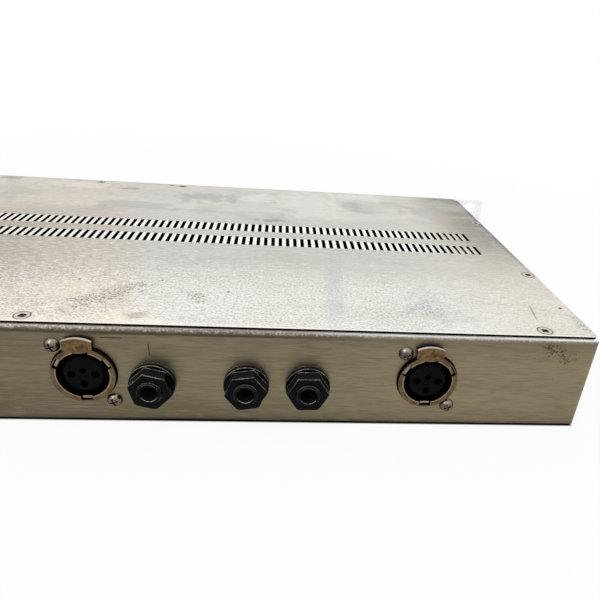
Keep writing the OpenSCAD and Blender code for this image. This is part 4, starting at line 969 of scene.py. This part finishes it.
def dress_rest():
    """Finishes of the plastic, painted, glass and wound pieces."""
    dress([name + "_insert" for name in SOCKETS],
          moulded_plastic("socket_black", tone(13, 13, 13), tone(22, 22, 22), 0.5, 0.02,
                          dust_and_sheen=0.0, edge=0.02))
    dress(["line_jack", "link_jack", "insert_jack", "output_jack", "jack_nuts"],
          moulded_plastic("jack_black", tone(4, 4, 4), tone(10, 10, 10), 0.26, 0.06,
                          dust_and_sheen=0.04, edge=0.9, edge_reach=0.00045))
    dress(["mains_inlet", "fuse_drawer", "switch_bodies", "regulators", "transformer_pads"],
          moulded_plastic("inlet_black", tone(24, 24, 24), tone(52, 50, 48), 0.42, 0.3))
    dress(["power_switch", "power_rocker"],
          moulded_plastic("rocker_black", tone(22, 22, 23), tone(54, 52, 50), 0.22, 0.4))
    dress(["front_panel"], panel_paint())
    dress([name + "_knob" for name in KNOBS], knob_plastic())
    dress([name + "_button" for name in BUTTONS],
          moulded_plastic("button_grey", tone(196, 192, 180), tone(158, 150, 134), 0.42, 0.4))
    dress(["level_meter"], meter_window())
    dress(["indicator_lamps"], lamp_lens())
    dress(["main_board"], board_mask())
    dress(["mains_transformer"], core_tape())
    dress(["valve"], clear_glass("valve_glass", tone(170, 176, 176)))
    dress(["fuse"], clear_glass("fuse_glass", tone(200, 206, 206)))
    dress(["valve_socket"],
          moulded_plastic("socket_ceramic", tone(226, 222, 210), tone(190, 182, 164), 0.25))
    dress(["filter_capacitors"],
          moulded_plastic("capacitor_sleeve", tone(28, 36, 76), tone(60, 66, 96), 0.28))


# Prints on the panels


def new_mesh(name, points, faces, material):
    """Mesh object from whole arrays of points and faces."""
    mesh = bpy.data.meshes.new(name)
    mesh.from_pydata(points.tolist(), [], faces.tolist())
    mesh.materials.append(material)
    piece = bpy.data.objects.new(name, mesh)
    bpy.context.scene.collection.objects.link(piece)
    return piece


def add_print(name, flat, depth, faces, ink):
    """Print on the chassis: plane points (sideways, up) stood upright at a depth."""
    points = np.insert(flat, 1, depth, axis=1)
    piece = new_mesh(name, points, faces, ink)
    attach(piece, "chassis")


def strips(starts, ends, width):
    """Straight bars in a plane: corner = start + along * (end - start) + across * width * side."""
    run = ends - starts
    side = np.stack([-run[:, 1], run[:, 0]], axis=1) / np.linalg.norm(run, axis=1)[:, None]
    along = np.array([0.0, 1.0, 1.0, 0.0])[None, :, None]
    across = np.array([-0.5, -0.5, 0.5, 0.5])[None, :, None]
    corners = starts[:, None] + along * run[:, None] + across * width * side[:, None]
    faces = np.arange(4 * len(starts)).reshape(-1, 4)
    return corners.reshape(-1, 2), faces


def knob_centres():
    """Middles of the knobs on the front panel, one row of right and up for each."""
    return np.array([[middle(name + "_knob").x, middle(name + "_knob").z] for name in KNOBS])


def dial_spokes():
    """Directions of the dial marks: the cosine and sine of each angle."""
    angle = np.radians(DIAL_ANGLES)
    return np.stack([np.cos(angle), np.sin(angle)], axis=1)


def dial_marks(ink):
    """Ticks round each knob: start and end radius along the same direction, every fifth one longer."""
    spoke = dial_spokes()
    length = np.where(np.arange(len(spoke)) % 5 == 0, TICK_LONG, TICK_SHORT)[:, None]
    centres = knob_centres()
    starts = (centres[:, None] + spoke * TICK_START).reshape(-1, 2)
    ends = (centres[:, None] + spoke * (TICK_START + length)).reshape(-1, 2)
    points, faces = strips(starts, ends, TICK_WIDTH)
    add_print("dial_marks", points, PANEL_LOW.y - PRINT_LIFT, faces, ink)


def numeral(number, size):
    """Points and triangles of a centred number in its own plane."""
    curve = bpy.data.curves.new("numeral", "FONT")
    curve.body = str(number)
    curve.size = size
    curve.align_x = "CENTER"
    curve.align_y = "CENTER"
    holder = bpy.data.objects.new("numeral", curve)
    mesh = bpy.data.meshes.new_from_object(holder)
    mesh.calc_loop_triangles()
    points = np.empty(3 * len(mesh.vertices))
    mesh.vertices.foreach_get("co", points)
    corners = np.empty(3 * len(mesh.loop_triangles), dtype=int)
    mesh.loop_triangles.foreach_get("vertices", corners)
    bpy.data.objects.remove(holder)
    bpy.data.curves.remove(curve)
    bpy.data.meshes.remove(mesh)
    return points.reshape(-1, 3)[:, :2], corners.reshape(-1, 3)


def dial_numbers(ink):
    """Even numbers round each dial: each number's own points moved out along its mark's direction."""
    spoke = dial_spokes()
    centres = knob_centres()
    all_points = []
    all_faces = []
    count = 0
    for number in range(0, len(spoke), 2):
        points, faces = numeral(number, NUMBER_SIZE)
        moved = (centres[:, None] + spoke[number] * NUMBER_RADIUS + points).reshape(-1, 2)
        shifts = count + len(points) * np.arange(len(centres))
        all_points.append(moved)
        all_faces.append((faces + shifts[:, None, None]).reshape(-1, 3))
        count += len(moved)
    points = np.concatenate(all_points)
    faces = np.concatenate(all_faces)
    add_print("dial_numbers", points, PANEL_LOW.y - PRINT_LIFT, faces, ink)


def socket_leader(ink):
    """Printed leader that ties the line socket to its jack: one bar across and one bar down."""
    starts = np.array([[-0.0285, 0.0384], [-0.0455, 0.0363]])
    ends = np.array([[-0.0361, 0.0384], [-0.0457, 0.0311]])
    points, faces = strips(starts, ends, LEADER_WIDTH)
    add_print("socket_leader", points, REAR + PRINT_LIFT, faces[:, ::-1], ink)


# Stage


def aim_camera():
    """Camera at the photograph's place, from its right, up and backward directions."""
    right = Vector((-0.994866, 0.070882, 0.072233))
    up = Vector((0.0336, -0.441912, 0.896429))
    back = Vector((0.095461, 0.894254, 0.437261))
    turn = Matrix((right, up, back)).transposed().to_4x4()
    place = Vector((-0.09119, 0.283445, 0.143875))
    data = bpy.data.cameras.new("camera")
    data.sensor_width = 36.0
    data.lens = 32.565
    data.shift_x = -0.04167
    data.clip_start = 0.01
    camera = bpy.data.objects.new("camera", data)
    camera.matrix_world = Matrix.Translation(place) @ turn
    bpy.context.scene.collection.objects.link(camera)
    bpy.context.scene.camera = camera


def seen_directly(tree):
    """1 for rays from the camera, off gloss or through glass, else 0."""
    path = tree.nodes.new("ShaderNodeLightPath").outputs
    either = calc("MAXIMUM", path["Is Camera Ray"], path["Is Glossy Ray"])
    return calc("MAXIMUM", either, path["Is Transmission Ray"])


def light_world(level):
    """White surroundings to look at, and a plain even light of the given level."""
    world = bpy.data.worlds.new("studio")
    world.use_nodes = True
    tree = world.node_tree
    shader = tree.nodes["Background"]
    shader.inputs["Color"].default_value = (1, 1, 1, 1)
    feed(shader.inputs["Strength"], spread(seen_directly(tree), level, 1.0))
    bpy.context.scene.world = world


def floor_white():
    """Paper white: real shading by the object keeps its shadow, plain white further off hides the end.

    Under the tray and along its foot all is shading, over paper painted dark as a contact shadow; past_x
    and past_y tell how far outside a point lies.
    """
    material = bpy.data.materials.new("floor_white")
    material.use_nodes = True
    tree = material.node_tree
    tree.nodes.remove(tree.nodes["Principled BSDF"])
    glow = put(tree, "Emission", {"Color": (1, 1, 1, 1), "Strength": 1.0})
    where = tree.nodes.new("ShaderNodeTexCoord").outputs["Object"]
    far = ease(vector_calc("LENGTH", where)["Value"], 0.25, 0.7)
    foot = middle("chassis_tray")
    from_foot = vector_calc("SUBTRACT", where, (foot.x, foot.y, 0))[0]
    reach = vector_calc("ABSOLUTE", from_foot)[0]
    past_x, past_y = parts(vector_calc("SUBTRACT", reach, tuple(TRAY_HIGH - foot))[0])[:2]
    clear = ease(calc("MAXIMUM", past_x, past_y), CONTACT_INSIDE, CONTACT_OUTSIDE)
    # Paper painted dark as a contact shadow at the tray's foot
    paper = put(tree, "BsdfDiffuse", {"Color": mix(clear, tone(30, 28, 26), tone(242, 242, 242))})
    glow_share = both(spread(far, 0.92, 1.0), clear)
    share = both(seen_directly(tree), glow_share)
    blend = put(tree, "MixShader", {0: share, 1: paper.outputs[0], 2: glow.outputs[0]})
    feed(tree.nodes["Material Output"].inputs["Surface"], blend.outputs[0])
    return material


def lay_floor():
    """Pale floor: one square just under the object."""
    signs = np.array([[-1, -1, 0], [1, -1, 0], [1, 1, 0], [-1, 1, 0]])
    corners = FLOOR_HALF * signs - np.array([0, 0, FLOOR_DROP])
    new_mesh("floor", corners, np.array([[0, 1, 2, 3]]), floor_white())


def hang_lamp(name, place, size, power):
    """Square lamp that faces the middle of the object."""
    data = bpy.data.lights.new(name, "AREA")
    data.shape = "SQUARE"
    data.size = size
    data.energy = power
    lamp = bpy.data.objects.new(name, data)
    lamp.location = place
    lamp.rotation_mode = "QUATERNION"
    lamp.rotation_quaternion = (Vector((0, 0, 0.02)) - Vector(place)).to_track_quat("-Z", "Y")
    bpy.context.scene.collection.objects.link(lamp)


dress_metal()
dress_rest()
dial_ink = print_ink("dial_ink", tone(40, 38, 36), tone(110, 104, 94))
dial_marks(dial_ink)
dial_numbers(dial_ink)
socket_leader(print_ink("rear_ink", tone(34, 30, 24), tone(76, 68, 54)))
aim_camera()
light_world(level=0.75)
lay_floor()
hang_lamp("key", place=(0.45, 0.6, 0.9), size=0.5, power=2.5)
hang_lamp("fill", place=(-0.3, -0.35, 1.3), size=0.6, power=2.0)
bpy.context.scene.view_settings.view_transform = "Standard"
